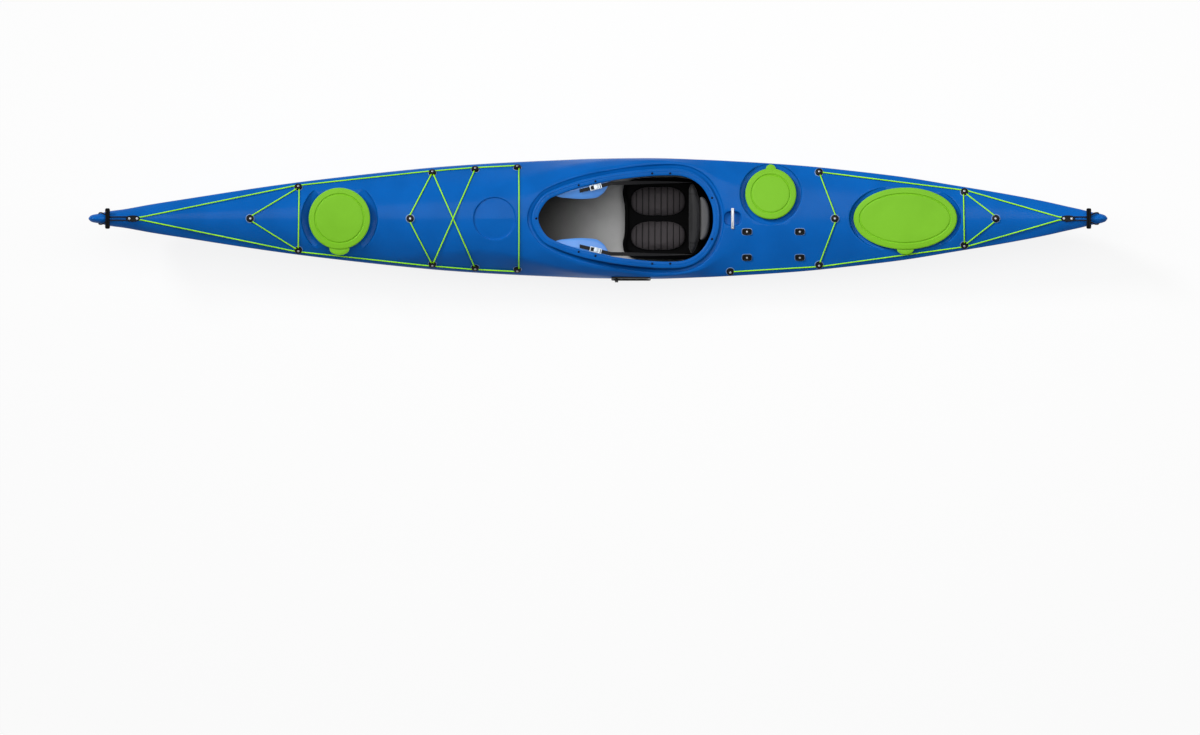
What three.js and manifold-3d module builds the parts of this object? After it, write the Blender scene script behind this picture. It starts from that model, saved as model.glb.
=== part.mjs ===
// A sea kayak: thermoformed hull and deck, cockpit coaming, three hatches, seat, foot rests, deck lines
// and a drop-down skeg. Millimetres, +Z up, bow towards -X, starboard towards +Y, keel resting at Z 0.
import * as THREE from "three";
import { mergeVertices } from "three/addons/utils/BufferGeometryUtils.js";
import Module from "manifold-3d";

const wasm = await Module();
wasm.setup();

// Driving sizes of the boat
const boatLength = 4900;
const beam = 582;
const bowHeight = 481;
const halfLength = boatLength / 2;
const halfBeam = beam / 2;

// Sheets and clearances
const hullWall = 4;
const deckWall = 4;
const seatGap = 0.3;
const seamGap = 0.3;
const overrun = 40;
const flankShare = 0.45;
const gunwaleBand = 20;

// Places along the boat as shares of its length, across it as shares of its half beam, up as shares of
// the bow's height
const along = (share) => share * boatLength - halfLength;
const across = (share) => share * halfBeam;
const up = (share) => share * bowHeight;

// Half beam of the deck seam from bow to stern
const beamShares = [
  [0, 0.01], [0.002, 0.048], [0.0045, 0.064], [0.01, 0.081], [0.02, 0.121], [0.035, 0.155],
  [0.06, 0.231], [0.1, 0.337], [0.15, 0.468], [0.2, 0.588], [0.25, 0.691], [0.3, 0.783],
  [0.35, 0.861], [0.4, 0.916], [0.45, 0.957], [0.5, 0.99], [0.55, 1], [0.6, 0.975],
  [0.65, 0.932], [0.7, 0.874], [0.75, 0.788], [0.8, 0.686], [0.85, 0.549], [0.9, 0.408],
  [0.94, 0.279], [0.96, 0.203], [0.975, 0.147], [0.985, 0.104], [0.993, 0.079], [0.998, 0.05],
  [1, 0.01],
];
// Keel line, with the flat stretch that the boat rests on
const keelShares = [
  [0, 0.92], [0.0035, 0.855], [0.01, 0.755], [0.02, 0.613], [0.035, 0.433], [0.05, 0.308],
  [0.06, 0.261], [0.08, 0.239], [0.15, 0.173], [0.2, 0.131], [0.25, 0.098], [0.3, 0.068],
  [0.35, 0.046], [0.4, 0.027], [0.45, 0.012], [0.49, 0], [0.61, 0], [0.65, 0.013],
  [0.7, 0.034], [0.75, 0.057], [0.8, 0.089], [0.85, 0.138], [0.9, 0.192], [0.94, 0.24],
  [0.96, 0.284], [0.975, 0.397], [0.985, 0.525], [0.993, 0.657], [0.998, 0.745], [1, 0.785],
];
// Seam between hull and deck
const seamShares = [
  [0, 0.926], [0.0035, 0.922], [0.01, 0.905], [0.02, 0.881], [0.035, 0.849], [0.06, 0.804],
  [0.1, 0.734], [0.15, 0.657], [0.2, 0.593], [0.25, 0.536], [0.3, 0.486], [0.35, 0.449],
  [0.4, 0.41], [0.45, 0.38], [0.5, 0.363], [0.55, 0.35], [0.6, 0.347], [0.65, 0.36],
  [0.7, 0.387], [0.75, 0.422], [0.8, 0.473], [0.85, 0.53], [0.9, 0.61], [0.94, 0.68],
  [0.96, 0.718], [0.985, 0.767], [1, 0.79],
];
// Crest of the deck, which drops from the foredeck to the low afterdeck beside the cockpit
const ridgeShares = [
  [0, 0.934], [0.002, 0.973], [0.0045, 0.99], [0.01, 0.995], [0.02, 0.977], [0.035, 0.954],
  [0.06, 0.915], [0.1, 0.862], [0.15, 0.81], [0.2, 0.77], [0.25, 0.76], [0.3, 0.752],
  [0.4, 0.754], [0.425, 0.748], [0.437, 0.74], [0.45, 0.72], [0.463, 0.695], [0.475, 0.675],
  [0.495, 0.625], [0.515, 0.567], [0.535, 0.515], [0.555, 0.48], [0.575, 0.469], [0.6, 0.476],
  [0.62, 0.492], [0.65, 0.51], [0.7, 0.525], [0.75, 0.55], [0.8, 0.604], [0.85, 0.649],
  [0.9, 0.703], [0.94, 0.77], [0.96, 0.809], [0.985, 0.842], [0.994, 0.842], [0.998, 0.825],
  [1, 0.8],
];
// Knee of the deck's side, as a share of the half beam there and of the rise from seam to crest. On the
// foredeck it swings inward, which makes the flat facet that a paddle passes over
const kneeShares = [
  [0, 0.7, 0.5], [0.01, 0.85, 0.5], [0.06, 0.85, 0.42], [0.2, 0.86, 0.34], [0.26, 0.87, 0.37],
  [0.3, 0.83, 0.45], [0.34, 0.71, 0.634], [0.385, 0.624, 0.733], [0.425, 0.726, 0.728],
  [0.45, 0.82, 0.7], [0.463, 0.87, 0.692], [0.495, 0.942, 0.61], [0.515, 0.965, 0.5],
  [0.535, 0.967, 0.67], [0.555, 0.967, 0.85], [0.575, 0.965, 0.73], [0.6, 0.95, 0.53],
  [0.62, 0.93, 0.42], [0.65, 0.92, 0.36], [0.7, 0.9, 0.33], [0.75, 0.88, 0.33],
  [0.8, 0.865, 0.34], [0.9, 0.85, 0.38], [0.94, 0.84, 0.4], [0.99, 0.82, 0.45], [1, 0.7, 0.5],
];
// Shoulder inside the knee, which becomes the raised ring round the cockpit
const shoulderShares = [
  [0, 0.35, 0.75], [0.01, 0.425, 0.75], [0.26, 0.435, 0.75], [0.3, 0.415, 0.75],
  [0.385, 0.312, 0.75], [0.425, 0.36, 0.75], [0.437, 0.41, 0.85], [0.45, 0.535, 0.93],
  [0.463, 0.64, 0.95], [0.495, 0.79, 0.97], [0.515, 0.848, 0.95], [0.535, 0.892, 0.94],
  [0.555, 0.919, 0.95], [0.575, 0.93, 0.94], [0.6, 0.856, 0.97], [0.62, 0.64, 0.97],
  [0.65, 0.46, 0.78], [0.75, 0.44, 0.75], [1, 0.35, 0.75],
];
// Half sections of the hull from keel to seam, a soft-chined one amidships and a V at the ends
const midSectionShares = [
  [0.1, 0], [0.36, 0.045], [0.6, 0.12], [0.8, 0.27], [0.915, 0.48], [0.97, 0.74], [1, 1],
];
const endSectionShares = [
  [0.06, 0], [0.2, 0.17], [0.36, 0.34], [0.52, 0.5], [0.68, 0.66], [0.84, 0.83], [1, 1],
];
const fullnessShares = [
  [0, 0], [0.06, 0.05], [0.2, 0.55], [0.35, 1], [0.7, 1], [0.85, 0.6], [0.95, 0.1], [1, 0],
];
// Stations that the skins are lofted through, and the first and last that are hollow
const stationShares = [
  0, 0.0015, 0.0045, 0.01, 0.02, 0.035, 0.05, 0.065, 0.1, 0.15, 0.2, 0.25, 0.3, 0.34, 0.385, 0.425,
  0.45, 0.47, 0.495, 0.515, 0.535, 0.555, 0.575, 0.6, 0.62, 0.66, 0.7, 0.75, 0.8, 0.85, 0.9, 0.93,
  0.955, 0.97, 0.98, 0.988, 0.9945, 0.9985, 1,
];
const hollowFromShare = 0.035;
const hollowToShare = 0.97;

// A smooth curve through rows of shares, with no overshoot between them
function smooth(rows, column = 1) {
  const slope = (i) => (rows[i + 1][column] - rows[i][column]) / (rows[i + 1][0] - rows[i][0]);
  const tangent = (i) => {
    if (i === 0) return slope(0);
    if (i === rows.length - 1) return slope(i - 1);
    const before = slope(i - 1);
    const after = slope(i);
    return before * after <= 0 ? 0 : (2 * before * after) / (before + after);
  };
  return (share) => {
    const s = Math.min(Math.max(share, rows[0][0]), rows[rows.length - 1][0]);
    const i = Math.min(rows.findLastIndex((row) => row[0] <= s), rows.length - 2);
    const run = rows[i + 1][0] - rows[i][0];
    const t = (s - rows[i][0]) / run;
    const h = t * t * (3 - 2 * t);
    const bend = run * (t * (1 - t) ** 2 * tangent(i) - t * t * (1 - t) * tangent(i + 1));
    return rows[i][column] * (1 - h) + rows[i + 1][column] * h + bend;
  };
}
const shareOf = (x) => (x + halfLength) / boatLength;
const beamAt = smooth(beamShares);
const keelAt = smooth(keelShares);
const seamAt = smooth(seamShares);
const ridgeAt = smooth(ridgeShares);
const kneeOutAt = smooth(kneeShares);
const kneeUpAt = smooth(kneeShares, 2);
const shoulderOutAt = smooth(shoulderShares);
const shoulderUpAt = smooth(shoulderShares, 2);
const fullnessAt = smooth(fullnessShares);
const beamHalf = (x) => across(beamAt(shareOf(x)));
const ridgeHeight = (x) => up(ridgeAt(shareOf(x)));
const keelHeight = (x) => up(keelAt(shareOf(x)));
const seamHeight = (x) => up(seamAt(shareOf(x)));
const mix = (a, b, t) => a + (b - a) * t;

// Half of the hull's section at a share of the length, from keel to seam
function hullHalf(s) {
  const b = across(beamAt(s));
  const keel = up(keelAt(s));
  const seam = up(seamAt(s));
  return endSectionShares.map(([out, rise], i) => {
    const y = mix(out, midSectionShares[i][0], fullnessAt(s)) * b;
    return [y, mix(keel, seam, mix(rise, midSectionShares[i][1], fullnessAt(s)))];
  });
}

// Half of the deck's section at a share of the length, from crest to seam
function deckHalf(s) {
  const b = across(beamAt(s));
  const seam = up(seamAt(s)) + seamGap;
  const ridge = up(ridgeAt(s));
  const knee = [kneeOutAt(s) * b, mix(seam, ridge, kneeUpAt(s))];
  const shoulder = [shoulderOutAt(s) * b, mix(knee[1], ridge, shoulderUpAt(s))];
  const crownShare = 0.75;
  const swellShare = 0.583;
  const leanShare = 0.06;
  const band = Math.min(gunwaleBand, flankShare * (knee[1] - seam));
  return [
    [0, ridge],
    [shoulder[0] / 2, mix(shoulder[1], ridge, crownShare)],
    shoulder,
    [(shoulder[0] + knee[0]) / 2, mix(knee[1], shoulder[1], swellShare)],
    knee,
    [mix(b, knee[0], leanShare), seam + band],
    [b, seam],
  ];
}

// A half section moved inward by a sheet's thickness; side is 1 for a hull and -1 for a deck
function inset(half, wall, side) {
  const normal = (p, q) => {
    const run = Math.hypot(q[0] - p[0], q[1] - p[1]);
    return [(-side * (q[1] - p[1])) / run, (side * (q[0] - p[0])) / run];
  };
  return half.map((point, i) => {
    const next = i < half.length - 1 ? normal(point, half[i + 1]) : normal(half[i - 1], point);
    const mirrored = half[0][0] > 0 ? [0, side] : [-next[0], next[1]];
    const before = i > 0 ? normal(half[i - 1], point) : mirrored;
    const scale = wall / (1 + before[0] * next[0] + before[1] * next[1]);
    const z = point[1] + scale * (before[1] + next[1]);
    if (half[0][0] === 0 && i === 0) return [0, z];
    return [Math.max(point[0] + scale * (before[0] + next[0]), seatGap * (i + 1)), z];
  });
}

// Geometry and solids
function toGeometry(solid) {
  const made = solid.getMesh();
  const count = made.numProp;
  const positions = new Float32Array(made.numVert * 3);
  for (let i = 0; i < made.numVert; i++) {
    positions.set(made.vertProperties.subarray(i * count, i * count + 3), i * 3);
  }
  return new THREE.BufferGeometry()
    .setAttribute("position", new THREE.BufferAttribute(positions, 3))
    .setIndex(new THREE.BufferAttribute(made.triVerts, 1));
}

function toSolid(geometry, matrix) {
  const bare = geometry.index ? geometry.toNonIndexed() : geometry.clone();
  bare.deleteAttribute("normal");
  bare.deleteAttribute("uv");
  if (matrix) bare.applyMatrix4(matrix);
  const merged = mergeVertices(bare, 1e-4);
  const triVerts = new Uint32Array(merged.index.array);
  const build = () =>
    new wasm.Manifold(
      new wasm.Mesh({ numProp: 3, vertProperties: merged.attributes.position.array, triVerts }),
    );
  const solid = build();
  if (solid.volume() > 0) return solid;
  for (let i = 0; i < triVerts.length; i += 3) {
    [triVerts[i], triVerts[i + 1]] = [triVerts[i + 1], triVerts[i]];
  }
  return build();
}

// A closed skin through rings of equally many points, with fans over its first and last ring, or bent
// round into a loop. From one point of the ring on its squares are split the other way, which keeps a
// mirrored section mirrored
function skin(rings, loop = false, otherWayFrom = Infinity) {
  const points = rings.flat();
  const n = rings[0].length;
  const faces = [];
  const spans = loop ? rings.length : rings.length - 1;
  for (let r = 0; r < spans; r++) {
    const here = r * n;
    const there = ((r + 1) % rings.length) * n;
    for (let i = 0; i < n; i++) {
      const j = (i + 1) % n;
      const square = [here + i, here + j, there + j, there + i];
      const [a, b, c, d] = i < otherWayFrom ? square : [...square.slice(1), square[0]];
      faces.push(a, b, c, a, c, d);
    }
  }
  if (!loop) {
    const fan = (start, flip) => {
      const middle = new THREE.Vector3();
      for (let i = 0; i < n; i++) middle.addScaledVector(points[start + i], 1 / n);
      points.push(middle);
      for (let i = 0; i < n; i++) {
        const a = start + i;
        const b = start + ((i + 1) % n);
        faces.push(points.length - 1, flip ? b : a, flip ? a : b);
      }
    };
    fan(0, true);
    fan((rings.length - 1) * n, false);
  }
  const geometry = new THREE.BufferGeometry().setFromPoints(points).setIndex(faces);
  return toSolid(geometry);
}

// A loft of closed sections along the boat; each is a half section mirrored about the centre plane
function loft(shares, halfAt) {
  const rings = shares.map((s) => {
    const half = halfAt(s);
    const whole = half.concat(half.filter(([y]) => y > 0).map(([y, z]) => [-y, z]).reverse());
    return whole.map(([y, z]) => new THREE.Vector3(along(s), y, z));
  });
  return skin(rings, false, halfAt(shares[0]).length);
}
const hollowStations = stationShares.filter((s) => s >= hollowFromShare && s <= hollowToShare);
const lastOf = (half) => half[half.length - 1];
function hullInside(wall, reach = overrun) {
  return loft(hollowStations, (s) => {
    const half = inset(hullHalf(s), wall, 1);
    return [...half, [lastOf(half)[0], lastOf(half)[1] + reach]];
  });
}
function deckInside(wall, reach = overrun) {
  return loft(hollowStations, (s) => {
    const half = inset(deckHalf(s), wall, -1);
    return [...half, [lastOf(half)[0], lastOf(half)[1] - reach]];
  });
}

// Outlines in plan: points with their outward directions
function outlineOf(points) {
  return points.map((p, i) => {
    const before = points[(i + points.length - 1) % points.length];
    const after = points[(i + 1) % points.length];
    const run = Math.hypot(after[0] - before[0], after[1] - before[1]);
    return [p[0], p[1], (after[1] - before[1]) / run, (before[0] - after[0]) / run];
  });
}
function oval(halfAlong, halfAcross, sides, squareness = 2) {
  const bend = (v) => Math.sign(v) * Math.abs(v) ** (2 / squareness);
  return outlineOf(
    Array.from({ length: sides }, (_, i) => {
      const turn = (i * 2 * Math.PI) / sides;
      return [halfAlong * bend(Math.cos(turn)), halfAcross * bend(Math.sin(turn))];
    }),
  );
}
function layer(outline, grow, height) {
  return outline.map(([x, y, nx, ny]) => {
    const px = x + nx * grow;
    return new THREE.Vector3(px, y + ny * grow, typeof height === "function" ? height(px) : height);
  });
}
const stack = (outline, profile) => skin(profile.map(([grow, height]) => layer(outline, grow, height)));
const band = (outline, profile) =>
  skin(profile.map(([grow, height]) => layer(outline, grow, height)), true);

// Placing solids
const placed = (solid, matrix) => toSolid(toGeometry(solid), matrix);
const moved = (x, y, z) => new THREE.Matrix4().makeTranslation(x, y, z);
const mirrored = new THREE.Matrix4().makeScale(1, -1, 1);
const box = (x, y, z) => toSolid(new THREE.BoxGeometry(x, y, z));
const joined = (solids) => solids.reduce((a, b) => a.add(b));

// A path of straight runs, which a tube follows corner by corner
class Route extends THREE.Curve {
  constructor(points) {
    super();
    this.points = points;
  }
  getPoint(t) {
    const last = this.points.length - 1;
    const i = Math.min(Math.floor(t * last), last - 1);
    return this.points[i].clone().lerp(this.points[i + 1], t * last - i);
  }
  getUtoTmapping(u) {
    return u;
  }
  getTangent(t) {
    const last = this.points.length - 1;
    const i = Math.round(t * last);
    const sum = new THREE.Vector3();
    if (i > 0) sum.add(this.points[i].clone().sub(this.points[i - 1]).normalize());
    if (i < last) sum.add(this.points[i + 1].clone().sub(this.points[i]).normalize());
    return sum.normalize();
  }
}
function polygon(radiusAcross, radiusUp, sides) {
  const turn = (i) => ((i + 0.5) * 2 * Math.PI) / sides;
  return new THREE.Shape(
    Array.from(
      { length: sides },
      (_, i) => new THREE.Vector2(radiusAcross * Math.cos(turn(i)), radiusUp * Math.sin(turn(i))),
    ),
  );
}
function tube(points, radius, sides = 6) {
  return toSolid(
    new THREE.ExtrudeGeometry(polygon(radius, radius, sides), {
      steps: points.length - 1,
      bevelEnabled: false,
      extrudePath: new Route(points),
    }),
  );
}
function revolve(profile, sides) {
  const points = profile.map(([r, z]) => new THREE.Vector2(r, z));
  return toSolid(new THREE.LatheGeometry(points, sides), new THREE.Matrix4().makeRotationX(Math.PI / 2));
}

// Outer solids of hull and deck
const hullSolid = loft(stationShares, (s) => hullHalf(s));
const deckSolid = loft(stationShares, deckHalf);
const deckRaised = deckSolid.translate([0, 0, seatGap]);

// The deck's surface at a place in plan, with its upward direction
const deckProbe = new THREE.Mesh(
  toGeometry(deckSolid),
  new THREE.MeshBasicMaterial({ side: THREE.DoubleSide }),
);
const probeHeight = 2 * bowHeight;
const caster = new THREE.Raycaster();
function surface(x, y) {
  caster.set(new THREE.Vector3(x, y, probeHeight), new THREE.Vector3(0, 0, -1));
  const hit = caster.intersectObject(deckProbe)[0];
  const normal = hit.face.normal.clone();
  if (normal.z < 0) normal.negate();
  if (y === 0) normal.setY(0).normalize();
  return { point: hit.point, normal };
}
// A piece drawn upright at the origin, set on the deck at a place and cut to the deck's form
function seatedOnDeck(solid, x, y) {
  const { point, normal } = surface(x, y);
  const turn = new THREE.Quaternion().setFromUnitVectors(new THREE.Vector3(0, 0, 1), normal);
  const matrix = new THREE.Matrix4().compose(point, turn, new THREE.Vector3(1, 1, 1));
  return placed(solid, matrix).subtract(deckRaised);
}

// Cockpit opening: an egg with its blunt end aft
const cockpitFrontShare = 0.4414;
const cockpitLength = 841;
const cockpitHalfWidth = 207;
const cockpitFront = along(cockpitFrontShare);
const cockpitBack = cockpitFront + cockpitLength;
const cockpitShares = [
  [0, 0], [0.045, 0.385], [0.12, 0.555], [0.25, 0.735], [0.4, 0.865], [0.56, 0.955], [0.72, 1],
  [0.84, 0.965], [0.93, 0.75], [0.985, 0.37], [1, 0],
];
const cockpitSteps = 2;
function cockpitOutline() {
  const side = cockpitShares.map(([x, y]) => [cockpitFront + x * cockpitLength, y * cockpitHalfWidth]);
  const other = side.slice(1, -1).map(([x, y]) => [x, -y]).reverse();
  const controls = side.concat(other).map(([x, y]) => new THREE.Vector3(x, y, 0));
  const curve = new THREE.CatmullRomCurve3(controls, true, "catmullrom", 0.5);
  const count = controls.length * cockpitSteps;
  const points = Array.from({ length: count }, (_, i) => curve.getPoint(i / count));
  return outlineOf(points.map((p) => [p.x, p.y])).map(([x, y, nx, ny]) => [x, y, -nx, -ny]);
}
const cockpit = cockpitOutline();

// A place on the afterdeck, as a share of the way from the cockpit's back to the stern
const behind = (share) => mix(cockpitBack, halfLength, share);

// Coaming: a lip for the spray deck on a riser that passes down through the deck
const lipWidth = 33;
const lipThickness = 5;
const lipDrop = 12;
const lipRound = 3;
const riserIn = 4;
const riserThickness = 5;
const riserOut = riserIn + riserThickness;
const riserBelow = 15;
const lipFrontShare = 0.753;
const lipBackShare = 0.504;
const lipRiseShares = [
  [0, 1], [0.11, 0.94], [0.27, 0.8], [0.44, 0.59], [0.6, 0.3], [0.68, 0.18], [0.77, 0.07],
  [0.87, 0.01], [1, 0],
];
const lipRise = smooth(lipRiseShares);
function lipTop(x) {
  const share = (x - cockpitFront + lipWidth) / (cockpitLength + 2 * lipWidth);
  return up(mix(lipBackShare, lipFrontShare, lipRise(share)));
}
// The trough that the coaming stands in
const troughDepth = 9;
const troughGrow = 50;
const troughLean = 8;
const troughFloor = (x) => ridgeHeight(x) - troughDepth;
const troughTool = (wall) =>
  stack(cockpit, [
    [-wall, (x) => troughFloor(x) - wall],
    [troughGrow + wall, (x) => troughFloor(x) - wall],
    [troughGrow + troughLean + wall, (x) => ridgeHeight(x) + overrun],
  ]);
const cockpitCut = stack(cockpit, [
  [riserOut + seatGap, (x) => troughFloor(x) - 2 * overrun],
  [riserOut + seatGap, (x) => lipTop(x) + overrun],
]);
const coaming = band(cockpit, [
  [0, (x) => lipTop(x) - lipRound],
  [lipRound, lipTop],
  [lipWidth - lipRound, lipTop],
  [lipWidth, (x) => lipTop(x) - lipRound],
  [lipWidth, (x) => lipTop(x) - lipDrop],
  [lipWidth - lipRound, (x) => lipTop(x) - lipDrop],
  [lipWidth - 2 * lipRound, (x) => lipTop(x) - lipThickness],
  [riserOut, (x) => lipTop(x) - lipThickness],
  [riserOut, (x) => troughFloor(x) - riserBelow],
  [riserIn, (x) => troughFloor(x) - riserBelow],
  [riserIn, (x) => lipTop(x) - 2 * lipRound],
  [0, (x) => lipTop(x) - 2 * lipRound],
]);

// Hatches: a recess in the deck, a rim through its floor and a soft lid that grips the rim
const lidPlate = 4;
const lidSkirt = 16;
const lidGroove = 30;
const grooveWidth = 3;
const grooveDepth = 2;
const lidClearance = 1;
const skirtThickness = 5;
const rimTube = 26;
const rimThickness = 5;
const rimFlange = 6;
const rimFoot = 12;
const rimFootThickness = 3;
const rimBelow = 12;
const recessLean = 10;
const hatchSides = 24;
const tabThickness = 4;
const tabDrop = 6;
const tabBite = 2;
const frontLidRadius = 148;
const frontRecess = 32;
const frontDepth = 44;
const frontTabHalf = 48;
const frontTabOut = 28;
const dayLidRadius = 123;
const dayInset = 23;
const dayRecess = 21;
const dayDepth = 26;
const dayTabHalf = 24;
const dayTabOut = 20;
const rearLidHalfLength = 250;
const rearLidHalfWidth = 149;
const rearRecess = 16;
const rearDepth = 26;
const rearTabHalf = 41;
const rearTabOut = 24;
const frontHatchShare = 0.2462;
const frontTopShare = 0.756;
const dayHatchShare = 0.1462;
const dayTopShare = 0.481;
const rearHatchShare = 0.487;
const rearTopShare = 0.596;
const dayX = behind(dayHatchShare);
const dayY = beamHalf(dayX) - dayInset - dayLidRadius;
const hatches = [
  {
    name: "front", x: along(frontHatchShare), y: 0, z: up(frontTopShare), pitch: 0, roll: 0,
    halfAlong: frontLidRadius, halfAcross: frontLidRadius, recess: frontRecess, depth: frontDepth,
    tabHalf: frontTabHalf, tabOut: frontTabOut, tabSide: -1,
  },
  {
    name: "day", x: dayX, y: dayY, z: up(dayTopShare), pitch: 0, roll: -7,
    halfAlong: dayLidRadius, halfAcross: dayLidRadius, recess: dayRecess, depth: dayDepth,
    tabHalf: dayTabHalf, tabOut: dayTabOut, tabSide: 1,
  },
  {
    name: "rear", x: behind(rearHatchShare), y: 0, z: up(rearTopShare), pitch: -5.35, roll: 0,
    halfAlong: rearLidHalfLength, halfAcross: rearLidHalfWidth, recess: rearRecess, depth: rearDepth,
    tabHalf: rearTabHalf, tabOut: rearTabOut, tabSide: -1,
  },
];
for (const hatch of hatches) {
  const turn = new THREE.Euler(
    THREE.MathUtils.degToRad(hatch.roll),
    THREE.MathUtils.degToRad(hatch.pitch),
    0,
  );
  hatch.matrix = new THREE.Matrix4()
    .makeRotationFromEuler(turn)
    .premultiply(moved(hatch.x, hatch.y, hatch.z));
  hatch.outline = oval(hatch.halfAlong, hatch.halfAcross, hatchSides);
}
function hatchRecess(hatch, wall) {
  const tool = stack(hatch.outline, [
    [hatch.recess + wall, -hatch.depth - wall],
    [hatch.recess + wall + recessLean, overrun],
  ]);
  return placed(tool, hatch.matrix);
}
const hatchCut = (hatch) =>
  placed(
    stack(hatch.outline, [
      [seatGap - rimTube, -hatch.depth - overrun],
      [seatGap - rimTube, overrun],
    ]),
    hatch.matrix,
  );
function hatchRim(hatch) {
  const top = -lidPlate - seatGap;
  const foot = -hatch.depth + seatGap;
  const profile = [
    [-rimTube - rimThickness, top],
    [-skirtThickness - lidClearance, top],
    [-skirtThickness - lidClearance, top - rimFlange],
    [-rimTube, top - rimFlange],
    [-rimTube, foot + rimFootThickness],
    [-rimTube + rimFoot, foot + rimFootThickness],
    [-rimTube + rimFoot, foot],
    [-rimTube, foot],
    [-rimTube, -hatch.depth - rimBelow],
    [-rimTube - rimThickness, -hatch.depth - rimBelow],
  ];
  return placed(band(hatch.outline, profile), hatch.matrix);
}
function hatchLid(hatch) {
  const disc = stack(hatch.outline, [
    [-lidGroove - 2 * grooveWidth, 0],
    [-lidGroove - grooveWidth, 0],
    [-lidGroove, -grooveDepth],
    [-lidGroove + grooveWidth, 0],
    [-grooveWidth, 0],
    [0, -grooveWidth],
    [0, -lidSkirt],
    [-skirtThickness, -lidSkirt],
    [-skirtThickness, -lidPlate],
    [-lidGroove - 2 * grooveWidth, -lidPlate],
  ]);
  const tabShape = new THREE.Shape();
  tabShape.absellipse(0, 0, hatch.tabHalf, hatch.tabOut + tabBite, 0, Math.PI);
  const tab = toSolid(
    new THREE.ExtrudeGeometry(tabShape, { depth: tabThickness, bevelEnabled: false, curveSegments: 5 }),
    hatch.tabSide < 0 ? new THREE.Matrix4().makeRotationZ(Math.PI) : undefined,
  );
  const seat = hatch.tabSide * (hatch.halfAcross - tabBite);
  const chord = hatch.halfAcross - Math.sqrt(1 - (hatch.tabHalf / hatch.halfAlong) ** 2) * hatch.halfAcross;
  const root = box(2 * hatch.tabHalf, chord + tabBite, tabThickness).translate([
    0,
    seat - (hatch.tabSide * (chord + tabBite)) / 2,
    tabThickness / 2,
  ]);
  const hollow = stack(hatch.outline, [
    [-skirtThickness, -overrun],
    [-skirtThickness, -lidPlate],
  ]);
  const grip = tab.translate([0, seat, 0]).add(root).translate([0, 0, -lidPlate - tabDrop]);
  return placed(disc.add(grip.subtract(hollow)), hatch.matrix);
}

// Compass recess and the recess under the security bar
const compassShare = 0.3985;
const compassRadius = 101;
const compassDepth = 9;
const compassSides = 24;
function compassRecess(wall) {
  const drum = stack(oval(compassRadius + wall, compassRadius + wall, compassSides), [
    [0, -2 * overrun],
    [0, 2 * overrun],
  ]).translate([along(compassShare), 0, ridgeHeight(along(compassShare))]);
  return drum.subtract(deckSolid.translate([0, 0, -compassDepth - wall]));
}
const barBehind = 93.4;
const barRecessLength = 83;
const barRecessWidth = 69;
const barRecessDepth = 22;
const barWidth = 14;
const barThickness = 6;
const barLength = 101;
const barClearance = 1;
const barX = cockpitBack + barBehind;
function barRecess(wall) {
  const outline = oval(barRecessLength / 2, barRecessWidth / 2, 16, 2.6);
  return stack(outline, [
    [wall, -barRecessDepth - wall],
    [wall, overrun],
  ]).translate([barX, 0, ridgeHeight(barX)]);
}

// Ends of the boat: toggle, its cord hole and the two-bolt fitting that the deck line starts from.
// Each end is drawn with its toggle's side towards the tip given by tipWay
const cordRadius = 3;
const cordHoleClearance = 1;
const ends = [
  { name: "bow", holeShare: 0.01, toggleShare: 0.0186, fittingShare: 0.0435, tipWay: -1 },
  { name: "stern", holeShare: 0.9915, toggleShare: 0.9817, fittingShare: 0.9612, tipWay: 1 },
];
const holeAboveSeam = 9;
function cordHole(end) {
  const x = along(end.holeShare);
  const z = seamHeight(x) + holeAboveSeam;
  return [x, z];
}
function cordTunnel(end) {
  const [x, z] = cordHole(end);
  const reach = across(beamAt(end.holeShare)) + overrun;
  return tube(
    [new THREE.Vector3(x, -reach, z), new THREE.Vector3(x, reach, z)],
    cordRadius + cordHoleClearance,
    10,
  );
}

// Skeg: a blade on a pin in a flat case over a slot in the keel, worked by a cable from a slider
const skegFromShare = 0.5827;
const skegLength = 290;
const skegShoulderShare = 0.62;
const skegTopShare = 0.75;
const skegInside = 12;
const skegCaseWall = 3;
const skegHalf = skegInside / 2 + skegCaseWall;
const skegCaseHeight = 150;
const bladeThickness = 8;
const bladeClearance = 5;
const bladeDepth = 105;
const pinRadius = 4;
const pinInset = 26;
const skegFront = behind(skegFromShare);
const skegBack = skegFront + skegLength;
function sideOutline(points) {
  return new THREE.Shape(points.map(([x, z]) => new THREE.Vector2(x, z)));
}
function slab(points, thickness, curveSegments = 8) {
  const shape = Array.isArray(points) ? sideOutline(points) : points;
  const geometry = new THREE.ExtrudeGeometry(shape, { depth: thickness, bevelEnabled: false, curveSegments });
  geometry.translate(0, 0, -thickness / 2);
  return toSolid(geometry, new THREE.Matrix4().makeRotationX(Math.PI / 2));
}
function skegCaseSide(grow, low) {
  const front = skegFront - grow;
  const back = skegBack + grow;
  return [
    [front, keelHeight(front) + low],
    [back, keelHeight(back) + low],
    [back, keelHeight(skegFront) + skegCaseHeight * skegShoulderShare + grow],
    [front + skegLength * skegTopShare, keelHeight(skegFront) + skegCaseHeight + grow],
    [front, keelHeight(skegFront) + skegCaseHeight + grow],
  ];
}
const skegSlot = slab(skegCaseSide(seatGap, -overrun), 2 * (skegHalf + seatGap));
const pinX = skegFront + pinInset;
const pinZ = keelHeight(pinX) + pinInset;
function skegCase() {
  const outer = slab(skegCaseSide(0, 0), 2 * skegHalf);
  const inner = slab(skegCaseSide(-skegCaseWall, -overrun), skegInside);
  const bore = tube(
    [new THREE.Vector3(pinX, -overrun, pinZ), new THREE.Vector3(pinX, overrun, pinZ)],
    pinRadius + seatGap,
    12,
  );
  return outer.subtract(inner).subtract(bore);
}
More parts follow.
